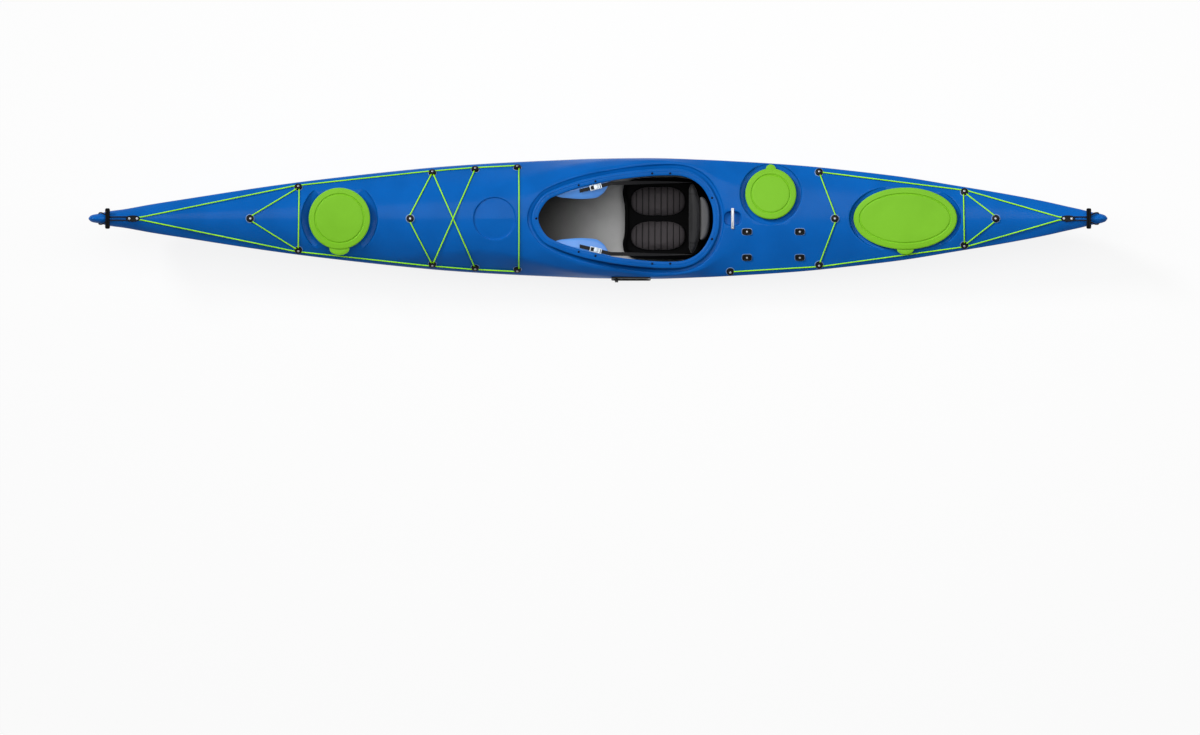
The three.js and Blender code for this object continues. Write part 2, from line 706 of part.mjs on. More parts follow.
function skegBlade() {
  const nose = pinInset - skegCaseWall - bladeClearance;
  const back = skegBack - skegCaseWall - bladeClearance;
  const low = keelHeight(back) + bladeClearance / 2;
  const high = pinZ + bladeDepth - pinInset;
  const shape = new THREE.Shape();
  shape.absarc(pinX, pinZ, nose, Math.PI / 2, (3 * Math.PI) / 2);
  shape.lineTo(back, low);
  shape.quadraticCurveTo(back, high, mix(skegFront, skegBack, 0.45), high);
  shape.closePath();
  const pin = tube(
    [new THREE.Vector3(pinX, -skegHalf, pinZ), new THREE.Vector3(pinX, skegHalf, pinZ)],
    pinRadius,
    12,
  );
  return slab(shape, bladeThickness, 6).add(pin);
}

// Skeg slider on the port side of the deck: a black track plate let into the deck's flank
const sliderShare = 0.5324;
const sliderLength = 189;
const sliderHeight = 49;
const sliderPlate = 5;
const sliderBody = 16;
const sliderBodyLength = 168;
const sliderBodyHeight = 26;
const sliderSlot = 7;
const sliderTravel = 139;
const knobLength = 16;
const knobHeight = 26;
const knobOut = 12;
const knobStem = 8;
const sliderX = along(sliderShare);
const sliderLift = 26;
const sliderZ = seamHeight(sliderX) + sliderLift;
const flankHalf = deckHalf(sliderShare);
const flankRise = flankHalf[4][1] - flankHalf[5][1];
const flankLean = Math.atan2(flankHalf[5][0] - flankHalf[4][0], flankRise);
const flankOut = mix(flankHalf[5][0], flankHalf[4][0], (sliderZ - flankHalf[5][1]) / flankRise);
// Local axes of the slider: X along the boat, Z out of the flank, Y up it
const sliderMatrix = new THREE.Matrix4()
  .makeRotationX(Math.PI / 2 - flankLean)
  .premultiply(moved(sliderX, -flankOut, sliderZ));
const sliderCut = (clearance) =>
  placed(
    box(sliderBodyLength + 2 * clearance, sliderBodyHeight + 2 * clearance, 2 * overrun),
    sliderMatrix,
  );
function sliderTrack() {
  const plate = box(sliderLength, sliderHeight, 2 * sliderPlate);
  const body = box(sliderBodyLength, sliderBodyHeight, sliderBody).translate([0, 0, -sliderBody / 2]);
  const slotLength = sliderTravel + knobStem + 2 * seatGap;
  const slot = box(slotLength, sliderSlot + 2 * seatGap, 2 * (sliderBody - sliderPlate));
  const seated = placed(plate, sliderMatrix).subtract(deckSolid.translate([0, -seatGap, 0]));
  return seated.add(placed(body, sliderMatrix)).subtract(placed(slot, sliderMatrix));
}
function sliderKnob() {
  const start = -sliderTravel / 2;
  const cap = box(knobLength, knobHeight, knobOut).translate([
    start,
    0,
    sliderPlate + seatGap + knobOut / 2,
  ]);
  const stemTop = sliderPlate + seatGap + knobOut / 3;
  const stemLength = sliderPlate + sliderBody / 2;
  const stem = box(knobStem, sliderSlot, stemLength).translate([
    start,
    0,
    stemTop - stemLength / 2,
  ]);
  return placed(cap.add(stem), sliderMatrix);
}

// Interior: everything that the skins leave hollow, less a clearance
const recessTools = (wall) => [
  troughTool(wall),
  compassRecess(wall),
  barRecess(wall),
  ...hatches.map((hatch) => hatchRecess(hatch, wall)),
];
const hull = hullSolid.subtract(hullInside(hullWall)).subtract(skegSlot);
const deckShell = deckSolid
  .subtract(joined(recessTools(0)))
  .subtract(deckInside(deckWall).subtract(joined(recessTools(deckWall))));
const deck = [cockpitCut, sliderCut(seatGap), ...hatches.map(hatchCut), ...ends.map(cordTunnel)].reduce(
  (solid, cut) => solid.subtract(cut),
  deckShell,
);
const roomSolid = hullInside(hullWall + seatGap, seamGap)
  .add(deckInside(deckWall + seatGap, seamGap))
  .subtract(joined(recessTools(deckWall + seatGap)));

// Skeg cable, from the slider's case under the port gunwale to the skeg's case
const cableRadius = 4;
const cableInset = 22;
const cableBelow = 22;
const cableFromShare = 0.556;
const cableShares = [0.57, 0.59, 0.61];
const cableBackShares = [0.0568, 0.1214, 0.1989, 0.2764, 0.354, 0.4186];
const cableInShares = [[0.4702, 0.93], [0.5038, 0.72], [0.5297, 0.42], [0.5529, 0.13]];
function cableRoute() {
  const side = (x, inShare = 1) =>
    new THREE.Vector3(x, -(beamHalf(x) - cableInset) * inShare, seamHeight(x) - cableBelow);
  const start = new THREE.Vector3(
    sliderX + sliderBodyLength / 2 + seatGap,
    -flankOut + sliderBody / 2 + cableRadius,
    sliderZ,
  );
  const drop = side(along(cableFromShare));
  const caseTop = new THREE.Vector3(
    skegFront - seatGap,
    0,
    keelHeight(skegFront) + skegCaseHeight - pinInset,
  );
  const sliderToBack = cableShares.map((share) => side(along(share)));
  const aft = cableBackShares.map((share) => side(behind(share)));
  const inward = cableInShares.map(([share, inShare]) => side(behind(share), inShare));
  const lead = caseTop.clone().setX(caseTop.x - pinInset);
  const leave = start.clone().setX(start.x + cableRadius * 3);
  return [start, leave, drop, ...sliderToBack, ...aft, ...inward, lead, caseTop];
}
const cable = tube(cableRoute(), cableRadius);
const cableHole = tube(cableRoute(), cableRadius + seatGap);

// Bulkheads, cut to the inside of the boat
const bulkheadThickness = 10;
const frontBulkheadShare = 0.346;
const dayBulkheadBehind = 56;
const rearBulkheadShare = 0.3165;
const bulkheads = {
  front_bulkhead: along(frontBulkheadShare),
  day_bulkhead: cockpitBack + dayBulkheadBehind,
  rear_bulkhead: behind(rearBulkheadShare),
};
function bulkhead(x) {
  const wide = box(bulkheadThickness, 2 * beam, 2 * bowHeight).translate([x, 0, bowHeight]);
  return wide.intersect(roomSolid).subtract(cableHole);
}

// Seat: a moulded pan that rests on the chines of the floor, two ribbed pads, a back band and a pad
const seatLength = 450;
const seatBehind = 16;
const seatInset = 10;
const seatHalfWidth = cockpitHalfWidth - seatInset;
const seatSheet = 4;
const seatFloor = 24;
const seatTurn = 10;
const seatTurnUp = 9;
const seatLean = 2;
const seatBed = 28;
const seatFront = cockpitBack + seatBehind - seatLength;
const seatShares = [
  [0.02, 0.3], [0, 0.62], [0.03, 0.86], [0.16, 0.97], [0.4, 1], [0.62, 0.99], [0.8, 0.88],
  [0.94, 0.62], [1, 0.3],
];
const seatRimShares = [[0, 0.12], [0.1, 0.3], [0.3, 0.8], [0.52, 1], [0.66, 0.62], [0.78, 0.25], [1, 0.2]];
const seatRimRise = 118;
const seatRim = smooth(seatRimShares);
const seatRimAt = (x) => seatFloor + seatSheet + seatRimRise * seatRim((x - seatFront) / seatLength);
function seatOutline() {
  const side = seatShares.map(([x, y]) => [seatFront + x * seatLength, y * seatHalfWidth]);
  const other = side.map(([x, y]) => [x, -y]).reverse();
  const controls = side.concat(other).map(([x, y]) => new THREE.Vector3(x, y, 0));
  const curve = new THREE.CatmullRomCurve3(controls, true, "catmullrom", 0.5);
  const count = controls.length * 2;
  const points = Array.from({ length: count }, (_, i) => curve.getPoint(i / count));
  return outlineOf(points.map((p) => [p.x, p.y])).map(([x, y, nx, ny]) => [x, y, -nx, -ny]);
}
function seatPan() {
  return stack(seatOutline(), [
    [-seatBed, seatFloor],
    [-seatTurn, seatFloor + seatTurnUp],
    [-seatLean, (x) => mix(seatFloor, seatRimAt(x), 0.5)],
    [0, seatRimAt],
    [-seatSheet, seatRimAt],
    [-seatLean - seatSheet, (x) => mix(seatFloor, seatRimAt(x), 0.5)],
    [-seatTurn - seatSheet, seatFloor + seatTurnUp + seatSheet],
    [-seatBed - seatLean, seatFloor + seatSheet],
  ]).intersect(roomSolid);
}

// A seat pad: an oval cushion with a crown, drawn-in edges and channels across it
const padFromSeat = 34;
const padFromSide = 40;
const padLength = 270;
const padGap = 9;
const padWidth = seatHalfWidth - padFromSide - padGap;
const padThickness = 30;
const padRibs = 9;
const padChannel = 5;
const padEdge = 9;
function seatPad() {
  const stepsPerRib = 3;
  const ranks = padRibs * stepsPerRib;
  const files = 6;
  const rows = [];
  for (let i = 1; i < ranks; i++) {
    const t = i / ranks;
    const reach = Math.sqrt(1 - Math.abs(2 * t - 1) ** 2.6);
    const x = (t - 0.5) * padLength;
    const channel = padChannel * Math.max(0, Math.cos(2 * Math.PI * t * padRibs)) ** 3;
    const top = [];
    for (let j = 0; j <= files; j++) {
      const v = -Math.cos((Math.PI * j) / files);
      const crown = (1 - Math.abs(v) ** 3) * (1 - Math.abs(2 * t - 1) ** 4);
      const height = padEdge + (padThickness - padEdge) * crown - channel * (1 - v * v);
      top.push(new THREE.Vector3(x, (v * reach * padWidth) / 2, height));
    }
    const tuck = (p, y) => new THREE.Vector3(p.x, p.y * y, 0);
    rows.push([...top, tuck(top[files], 0.9), tuck(top[0], 0.9)]);
  }
  return skin(rows);
}
const padSeatZ = seatFloor + seatSheet + seatGap;
const padX = seatFront + padFromSeat + padLength / 2;
const padY = padGap + padWidth / 2;

// Back band: a padded crescent behind the pads, with its two straps sewn in
const bandAhead = 64;
const bandInset = 35;
const bandHalfWidth = cockpitHalfWidth - bandInset;
const bandThickness = 52;
const bandHeight = 140;
const bandLift = 38;
const bandCurve = 12;
const bandEndShare = 0.72;
const bandSectionShares = [
  [-1, 0.06], [-0.6, 0], [0.6, 0], [1, 0.06], [1, 0.5], [0.85, 0.9], [0.4, 1], [-0.4, 1],
  [-0.85, 0.9], [-1, 0.5],
];
const strapWidth = 18;
const strapThickness = 2;
const bandX = cockpitBack - bandAhead - bandThickness / 2;
const bandZ = seatFloor + bandLift;
function backBand() {
  const steps = 14;
  const rings = [];
  for (let i = 0; i <= steps; i++) {
    const t = (2 * i) / steps - 1;
    const swell = Math.sqrt(Math.max(1 - Math.abs(t) ** 3, 0.04));
    const depth = (bandThickness * swell) / 2;
    const tall = bandHeight * mix(bandEndShare, 1, swell);
    const x = bandX - bandCurve * t * t;
    const at = (a, h) => new THREE.Vector3(x + a * depth, t * bandHalfWidth, bandZ + h * tall);
    rings.push(bandSectionShares.map(([a, h]) => at(a, h)));
  }
  return skin(rings);
}
const backPadLength = 46;
const backPadHalf = 108;
const backPadHeight = 132;
const backPadEdge = 6;
const backPadRound = 8;
const backPadX = bandX + bandThickness / 2 + seatGap;
function backPad() {
  const outline = oval(backPadLength, backPadHalf, 20, 2.4).map(([x, y, nx, ny]) => [
    Math.max(x, 0), y, x < 0 ? -1 : nx, x < 0 ? 0 : ny]);
  const half = outline.filter(([x], i) => x > 0 || i === 5 || i === 15);
  const ordered = outlineOf(half.map(([x, y]) => [x, y]));
  return stack(ordered, [
    [-backPadEdge, 0],
    [0, backPadEdge],
    [0, backPadHeight - backPadRound],
    [-backPadRound / 3, backPadHeight - backPadRound / 3],
    [-backPadRound, backPadHeight],
  ]).translate([backPadX, 0, bandZ]);
}

// Thigh braces: wings under the coaming's lip, each with a cam buckle for the back band's strap
const braceFromShare = 0.1025;
const braceToShare = 0.4142;
const braceSheet = 5;
const braceBelow = 12;
const braceSlope = 0.22;
const braceReachShares = [[0, 0], [0.12, 0.3], [0.55, 0.92], [0.72, 1], [0.86, 0.78], [1, 0]];
const braceReach = 66;
const braceRoot = 3;
const braceReachAt = smooth(braceReachShares);
function cockpitHalfAt(x, grow) {
  const side = cockpit
    .filter(([, y]) => y >= 0)
    .map(([px, y, nx, ny]) => [px + nx * grow, y + ny * grow])
    .sort((a, b) => a[0] - b[0]);
  const i = Math.max(1, side.findIndex(([px]) => px >= x));
  const t = (x - side[i - 1][0]) / (side[i][0] - side[i - 1][0]);
  return mix(side[i - 1][1], side[i][1], t);
}
const braceTopAt = (x, inward) => lipTop(x) - braceBelow - inward * braceSlope;
function thighBrace() {
  const steps = 10;
  const rings = [];
  for (let i = 0; i <= steps; i++) {
    const t = i / steps;
    const x = cockpitFront + cockpitLength * mix(braceFromShare, braceToShare, t);
    const outer = cockpitHalfAt(x, riserIn) + braceRoot;
    const inner = outer - 3 * braceRoot - braceReach * braceReachAt(t);
    const reach = outer - inner;
    rings.push([
      new THREE.Vector3(x, outer, braceTopAt(x, 0)),
      new THREE.Vector3(x, inner, braceTopAt(x, reach)),
      new THREE.Vector3(x, inner, braceTopAt(x, reach) - braceSheet),
      new THREE.Vector3(x, outer, braceTopAt(x, 0) - braceSheet),
    ]);
  }
  const well = stack(cockpit, [
    [riserIn - seatGap, 0],
    [riserIn - seatGap, 2 * bowHeight],
  ]);
  return skin(rings).intersect(well);
}
const buckleShare = 0.3274;
const buckleInward = 20.2;
const buckleLength = 58;
const buckleWidth = 26;
const buckleHeight = 8;
const buckleX = cockpitFront + cockpitLength * buckleShare;
const buckleY = cockpitHalfAt(buckleX, riserIn) - buckleInward;
const buckleYaw = 0.24;
const strapClearance = 0.5;
const strapLift = 4.5;
function buckleFrame() {
  const run = buckleLength / 2;
  const drop = braceTopAt(buckleX - run, buckleInward) - braceTopAt(buckleX + run, buckleInward);
  return new THREE.Matrix4()
    .makeRotationY(Math.atan2(drop, buckleLength))
    .premultiply(new THREE.Matrix4().makeRotationZ(buckleYaw))
    .premultiply(moved(buckleX, buckleY, braceTopAt(buckleX, buckleInward)));
}
const buckleMatrix = buckleFrame();
function braceWithBuckle() {
  const frame = box(buckleLength, buckleWidth, 2 * buckleHeight);
  const slotWidth = strapWidth + 2 * strapClearance;
  const slotHeight = strapThickness + 2 * strapClearance;
  const slot = box(2 * buckleLength, slotWidth, slotHeight).translate([0, 0, strapLift]);
  return thighBrace().add(placed(frame, buckleMatrix)).subtract(placed(slot, buckleMatrix));
}
const tailLength = 80;
const strapRun = 77;
const strapRootShare = 0.7;
const strapTurnSteps = 6;
function strapRing(centre, turnShare) {
  const turn = (turnShare * Math.PI) / 2;
  const wide = new THREE.Vector3(0, Math.cos(turn), Math.sin(turn)).multiplyScalar(strapWidth / 2);
  const thick = new THREE.Vector3(0, -Math.sin(turn), Math.cos(turn)).multiplyScalar(strapThickness / 2);
  return [[1, 1], [-1, 1], [-1, -1], [1, -1]].map(([a, b]) =>
    centre.clone().addScaledVector(wide, a).addScaledVector(thick, b),
  );
}
function strap() {
  const nearBuckle = (x) => new THREE.Vector3(x, 0, strapLift).applyMatrix4(buckleMatrix);
  const rootZ = bandZ + bandHeight * strapRootShare;
  const leave = new THREE.Vector3(bandX - bandThickness / 4, bandHalfWidth + strapThickness, rootZ);
  const root = new THREE.Vector3(bandX, bandHalfWidth - strapWidth, rootZ);
  const back = nearBuckle(strapRun);
  const middle = back.clone().lerp(leave, 0.5);
  middle.y = Math.max(back.y, leave.y);
  const points = [nearBuckle(-tailLength), nearBuckle(-buckleLength / 2), back, middle, leave, root];
  const turnShares = [0, 0, 0, 0.5, 1, 1];
  const rings = [];
  for (let i = 1; i < points.length; i++) {
    const steps = turnShares[i] > turnShares[i - 1] ? strapTurnSteps : 1;
    for (let step = 0; step < steps; step++) {
      const share = step / steps;
      const p = points[i - 1].clone().lerp(points[i], share);
      rings.push(strapRing(p, mix(turnShares[i - 1], turnShares[i], share)));
    }
  }
  rings.push(strapRing(root, 1));
  return skin(rings);
}

// Foot rests: a slotted rail on each side of the hull and a pedal that slides along it
const railFromShare = 0.368;
const railLength = 380;
const railDepth = 14;
const railHeight = 30;
const railSlotDepth = 9;
const railSlotHeight = 12;
const railEnd = 10;
const railZ = 108;
const railSeat = 2;
const pedalWidth = 84;
const pedalHeight = 112;
const pedalThickness = 9;
const pedalLift = 30;
const pedalRib = 3;
const pedalRibs = 5;
const pedalRibShare = 0.8;
const tongueLength = 44;
const tongueGap = 0.4;
const railX = along(railFromShare) + railLength / 2;
function hullInnerAt(x, z) {
  const half = inset(hullHalf(shareOf(x)), hullWall, 1);
  const i = Math.max(1, half.findIndex(([, pz]) => pz >= z));
  return mix(half[i - 1][0], half[i][0], (z - half[i - 1][1]) / (half[i][1] - half[i - 1][1]));
}
const railLow = railZ - railHeight / 2;
const railFrontY = hullInnerAt(railX - railLength / 2, railLow) + railSeat;
const railBackY = hullInnerAt(railX + railLength / 2, railLow) + railSeat;
const railYaw = Math.atan2(railBackY - railFrontY, railLength);
const railMatrix = new THREE.Matrix4()
  .makeRotationZ(railYaw)
  .premultiply(moved(railX, (railFrontY + railBackY) / 2, railZ));
function footRail() {
  const bar = box(railLength, railDepth, railHeight).translate([0, -railDepth / 2, 0]);
  const slot = box(railLength - 2 * railEnd, 2 * railSlotDepth, railSlotHeight).translate([0, -railDepth, 0]);
  return placed(bar.subtract(slot), railMatrix).intersect(roomSolid);
}
function footPedal() {
  const tongueDepth = railSlotDepth - tongueGap;
  const tongue = box(tongueLength, tongueDepth + pedalThickness, railSlotHeight - 2 * tongueGap).translate([
    0,
    -railDepth + (tongueDepth - pedalThickness) / 2,
    0,
  ]);
  const plate = box(pedalThickness, pedalWidth, pedalHeight).translate([
    tongueLength / 2 - pedalThickness / 2,
    -railDepth - tongueGap - pedalWidth / 2,
    pedalLift,
  ]);
  const web = box(tongueLength, pedalThickness, pedalHeight / 2).translate([
    0,
    -railDepth - tongueGap - pedalThickness / 2,
    0,
  ]);
  const ribs = Array.from({ length: pedalRibs }, (_, i) =>
    box(2 * pedalRib, pedalWidth * pedalRibShare, pedalRib).translate([
      tongueLength / 2,
      -railDepth - tongueGap - pedalWidth / 2,
      pedalLift + ((i + 1) / (pedalRibs + 1) - 0.5) * pedalHeight,
    ]),
  );
  return placed(joined([tongue, plate, web, ...ribs]), railMatrix);
}

// Toggles: a waisted grip on a cord that passes through the tip of the deck
const toggleLength = 99;
const toggleHalfAlong = 12;
const toggleHalfUp = 10;
const toggleEnd = 5;
const toggleSectionShares = [
  [1, 0], [0.88, 0.6], [0.55, 0.95], [0.25, 0.85], [0, 0.62], [-0.25, 0.85], [-0.55, 0.95],
  [-0.88, 0.6], [-1, 0], [-0.88, -0.6], [-0.55, -0.95], [0, -0.9], [0.55, -0.95], [0.88, -0.6],
];
const toggleTaperShare = 0.62;
const loopReach = 28;
const loopWaist = 18;
const loopGrip = 11;
const loopNearShare = 0.72;
const loopFarShare = 0.4;
function toggleCentre(end) {
  const x = along(end.toggleShare);
  return new THREE.Vector3(x, 0, Math.max(
    ridgeHeight(x - toggleHalfAlong / 2),
    ridgeHeight(x + toggleHalfAlong / 2),
  ) + toggleHalfUp + seatGap);
}
function toggle(end) {
  const centre = toggleCentre(end);
  const [holeX, holeZ] = cordHole(end);
  const tip = toggleLength / 2;
  const stations = [
    [-tip, toggleTaperShare], [toggleEnd - tip, 1], [tip - toggleEnd, 1], [tip, toggleTaperShare],
  ];
  const at = (y, a, c) => new THREE.Vector3(centre.x + a * toggleHalfAlong, y, centre.z + c * toggleHalfUp);
  const grip = skin(
    stations.map(([y, scale]) => toggleSectionShares.map(([a, c]) => at(y, a * scale, c * scale))),
  );
  const hole = new THREE.Vector3(holeX, 0, holeZ);
  const rest = (t, y) => hole.clone().lerp(centre, t).setY(y);
  const loop = tube(
    [
      rest(1, loopGrip), rest(loopNearShare, loopWaist), rest(loopFarShare, loopReach),
      rest(0, loopReach), rest(0, -loopReach), rest(loopFarShare, -loopReach),
      rest(loopNearShare, -loopWaist), rest(1, -loopGrip),
    ],
    cordRadius,
  );
  return grip.add(loop).subtract(deckRaised.subtract(joined(ends.map(cordTunnel))));
}

// End fittings: an oval plate with two bolt heads and the two elastic lines that park the toggle
const endHalfLength = 34;
const endHalfWidth = 15;
const endHeight = 8;
const endEdge = 3;
const boltRadius = 4;
const boltSpacingShare = 0.55;
const keeperShare = 0.6;
const sink = 6;
const keeperHalf = 8;
const keeperLift = 6;
function boltHead(radius, height) {
  return stack(oval(radius, radius, 8), [[0, -sink], [0, height], [-radius / 2, height + radius / 3]]);
}
function endFitting(end) {
  const plate = stack(oval(endHalfLength, endHalfWidth, 16, 2.3), [
    [0, -sink],
    [0, endHeight - endEdge],
    [-endEdge, endHeight],
  ]);
  const bolts = [-1, 1].map((side) =>
    boltHead(boltRadius, endHeight + boltRadius / 3).translate([side * endHalfLength * boltSpacingShare, 0, 0]),
  );
  const x = along(end.fittingShare);
  const seated = seatedOnDeck(joined([plate, ...bolts]), x, 0);
  const toggleAt = toggleCentre(end);
  const keepers = [-1, 1].map((side) => {
    const start = surface(x + end.tipWay * endHalfLength * keeperShare, side * keeperHalf);
    const finish = new THREE.Vector3(
      toggleAt.x - end.tipWay * (toggleHalfAlong + seatGap),
      side * keeperHalf,
      toggleAt.z - toggleHalfUp / 3,
    );
    return tube([start.point.clone().setZ(start.point.z + keeperLift), finish], cordRadius);
  });
  return joined([seated, ...keepers]).subtract(deckRaised);
}

// Security bar across its recess
function securityBar() {
  const span = box(barWidth, barLength, barThickness).translate([0, 0, barThickness / 2 + seatGap]);
  const footLength = (barLength - barRecessWidth) / 2 - barClearance;
  const feet = [-1, 1].map((side) =>
    box(barWidth, footLength, barThickness * 4).translate([
      0,
      (side * (barLength - footLength)) / 2,
      -barThickness,
    ]),
  );
  return joined([span, ...feet]).translate([barX, 0, ridgeHeight(barX)]).subtract(deckRaised);
}

// Deck clips beside the day hatch, for a paddle or a pump
const clipHalfLength = 23;
const clipHalfWidth = 15;
const clipHeight = 8;
const clipAlongShares = [0.0857, 0.2198];
const clipOutShares = [-0.218, -0.643];
function deckClip(x, y) {
  const body = stack(oval(clipHalfLength, clipHalfWidth, 12, 4), [
    [0, -sink],
    [0, clipHeight - endEdge],
    [-endEdge, clipHeight],
  ]);
  return seatedOnDeck(body.add(boltHead(boltRadius, clipHeight)), x, y);
}

// Deck fittings: round spools bolted to the deck, whose waist holds the line beside its post
const spoolRadius = 18;
const spoolBase = 2.1;
const postRadius = 3.4;
const lineRadius = 3;
const lineGap = 0.4;
const spoolCap = 4;
const lineHeight = spoolBase + lineGap + lineRadius;
const capUnder = lineHeight + lineRadius + lineGap;
const spoolLip = 1;
const centreAhead = 88;
const foredeckFittings = {
  fitting_bow_centre: [0.1585, 0], fitting_bow_port: [0.2058, -0.859],
  fitting_bow_starboard: [0.2058, 0.859], fitting_fore_centre: [0.3156, 0],
  fitting_fore_port: [0.3374, -0.889], fitting_fore_starboard: [0.3374, 0.889],
  fitting_mid_port: [0.3794, -0.9], fitting_mid_starboard: [0.3794, 0.9],
  fitting_cockpit_port: [0.4209, -0.894], fitting_cockpit_starboard: [0.4209, 0.894],
};
const afterdeckFittings = {
  fitting_slider_port: [0.0433, -0.918], fitting_day_port: [0.2687, -0.902],
  fitting_day_starboard: [0.2687, 0.902], fitting_stern_port: [0.6374, -0.839],
  fitting_stern_starboard: [0.6374, 0.839], fitting_stern_centre: [0.717, 0],
};
const spoolProfile = [
  [0, -sink], [spoolRadius, -sink], [spoolRadius, spoolBase], [postRadius, spoolBase],
  [postRadius, capUnder], [spoolRadius - spoolLip, capUnder], [spoolRadius - spoolLip, capUnder + spoolLip],
  [spoolRadius / 2, capUnder + spoolCap], [0, capUnder + spoolCap],
];
const fittings = { fitting_day_centre: [hatches[2].x - rearLidHalfLength - centreAhead, 0] };
function placeFittings(table, place) {
  for (const [name, [share, outShare]] of Object.entries(table)) {
    fittings[name] = [place(share), outShare * beamHalf(place(share))];
  }
}
placeFittings(foredeckFittings, along);
placeFittings(afterdeckFittings, behind);
const fittingAt = (name) => fittings[name];
const spool = revolve(spoolProfile, 8);
const deckFitting = (name) => seatedOnDeck(spool, ...fittingAt(name));

// Lines on the deck: a stop is a fitting, the side of its post that the line takes, or none where it
// ends there, or a free place on the deck
const wrapRadius = postRadius + lineRadius + lineGap;
const turnLength = 4;
const endReach = 7;
const lineStep = 20;
const lineEase = 0.9;
const plan = (name) => new THREE.Vector2(...fittingAt(name));
function onPlane(name, place) {
  const { point, normal } = surface(...fittingAt(name));
  const z = point.z - (normal.x * (place.x - point.x) + normal.y * (place.y - point.y)) / normal.z;
  return new THREE.Vector3(place.x, place.y, z).addScaledVector(normal, lineHeight);
}
function onDeck(place, extra = 0) {
  const { point, normal } = surface(place.x, place.y);
  return point.addScaledVector(normal, lineHeight + extra);
}
// A line stretched between two places: it bridges the deck's hollows and bends over its crests
const crossingReach = 45;
const crossingShare = 0.518;
function stretched(from, to, crossing) {
  const steps = Math.max(1, Math.ceil(from.place.distanceTo(to.place) / lineStep));
  const points = Array.from({ length: steps + 1 }, (_, k) => {
    if (k === 0) return from.point;
    if (k === steps) return to.point;
    const place = from.place.clone().lerp(to.place, k / steps);
    const near = crossing ? place.distanceTo(crossing) / crossingReach : 1;
    return onDeck(place, near < 1 ? (2 * lineRadius + 2 * lineGap) * (1 - near * near) : 0);
  });
  const height = (p, start, end, k) => p.z - mix(points[start].z, points[end].z, (k - start) / (end - start));
  const clears = (start, end) =>
    points.every((p, k) => k <= start || k >= end || height(p, start, end, k) < lineEase);
  const taut = [];
  for (let start = 0; start < steps; ) {
    let end = steps;
    while (!clears(start, end)) end -= 1;
    if (end < steps) taut.push(points[end]);
    start = end;
  }
  return taut;
}
function lineRoute(stops, crossing) {
  const centre = (stop) => (stop.place ? stop.place : plan(stop.at));
  const groups = stops.map((stop, i) => {
    const here = centre(stop);
    if (stop.place) return [{ place: here, point: onDeck(here) }];
    const toward = (other) => centre(other).clone().sub(here).normalize();
    if (!stop.wrap) {
      const next = toward(stops[i + 1] || stops[i - 1]);
      const inner = here.clone().addScaledVector(next, endReach);
      const outer = here.clone().addScaledVector(next, spoolRadius + spoolLip);
      const pair = [inner, outer].map((place) => ({ place, point: onPlane(stop.at, place) }));
      return i === 0 ? pair : pair.reverse();
    }
    const into = toward(stops[i - 1]);
    const out = toward(stops[i + 1]);
    const apex = here.clone().addScaledVector(new THREE.Vector2(...stop.wrap).normalize(), wrapRadius);
    const along2 = new THREE.Vector2(-stop.wrap[1], stop.wrap[0]).normalize();
    if (along2.dot(out.clone().sub(into)) < 0) along2.negate();
    const first = apex.clone().addScaledVector(along2, -turnLength);
    const second = apex.clone().addScaledVector(along2, turnLength);
    const places = [
      first.clone().addScaledVector(into, spoolRadius - turnLength),
      first,
      second,
      second.clone().addScaledVector(out, spoolRadius - turnLength),
    ];
    return places.map((place) => ({ place, point: onPlane(stop.at, place) }));
  });
  return groups.flatMap((group, i) => {
    const points = group.map(({ point }) => point);
    if (i === 0) return points;
    const from = groups[i - 1][groups[i - 1].length - 1];
    const lifted = i === groups.length - 1 ? crossing : undefined;
    return [...stretched(from, group[0], lifted), ...points];
  });
}
const deckLine = (stops, crossing) => tube(lineRoute(stops, crossing), lineRadius);
const port = [0, -1];
const starboard = [0, 1];
const nose = (end) => {
  const x = along(end.fittingShare) - end.tipWay * (endHalfLength + 2 * lineRadius);
  return (side) => ({ place: new THREE.Vector2(x, side * 2 * lineRadius) });
};
const bowNose = nose(ends[0]);
const sternNose = nose(ends[1]);
const lines = {
  bow_deck_line: [
    bowNose(1),
    { at: "fitting_bow_starboard", wrap: starboard }, { at: "fitting_fore_starboard", wrap: starboard },
    { at: "fitting_mid_starboard", wrap: starboard }, { at: "fitting_cockpit_starboard", wrap: [1, 1] },
    { at: "fitting_cockpit_port", wrap: [1, -1] }, { at: "fitting_mid_port", wrap: port },
    { at: "fitting_fore_port", wrap: port }, { at: "fitting_bow_port", wrap: port },
    bowNose(-1),
  ],
  bow_bungee: [
    { at: "fitting_bow_port" }, { at: "fitting_bow_starboard", wrap: port },
    { at: "fitting_bow_centre", wrap: [-1, 0] }, { at: "fitting_bow_port" },
  ],
  fore_bungee: [
    { at: "fitting_mid_port" }, { at: "fitting_fore_starboard", wrap: port },
    { at: "fitting_fore_centre", wrap: [-1, 0] }, { at: "fitting_fore_port", wrap: starboard },
    { at: "fitting_mid_starboard" },
  ],
  stern_deck_line: [
    { at: "fitting_day_starboard" }, { at: "fitting_stern_starboard", wrap: starboard },
    sternNose(1), sternNose(-1),
    { at: "fitting_stern_port", wrap: port }, { at: "fitting_day_port", wrap: port },
    { at: "fitting_slider_port" },
  ],
  day_bungee: [
    { at: "fitting_day_starboard" }, { at: "fitting_day_centre", wrap: [1, 0] },
    { at: "fitting_day_port" },
  ],
  stern_bungee: [
    { at: "fitting_stern_port" }, { at: "fitting_stern_starboard", wrap: port },
    { at: "fitting_stern_centre", wrap: [1, 0] }, { at: "fitting_stern_port" },
  ],
};
const foreCrossing = new THREE.Vector2(
  mix(fittings.fitting_fore_port[0], fittings.fitting_mid_port[0], crossingShare),
  0,
);

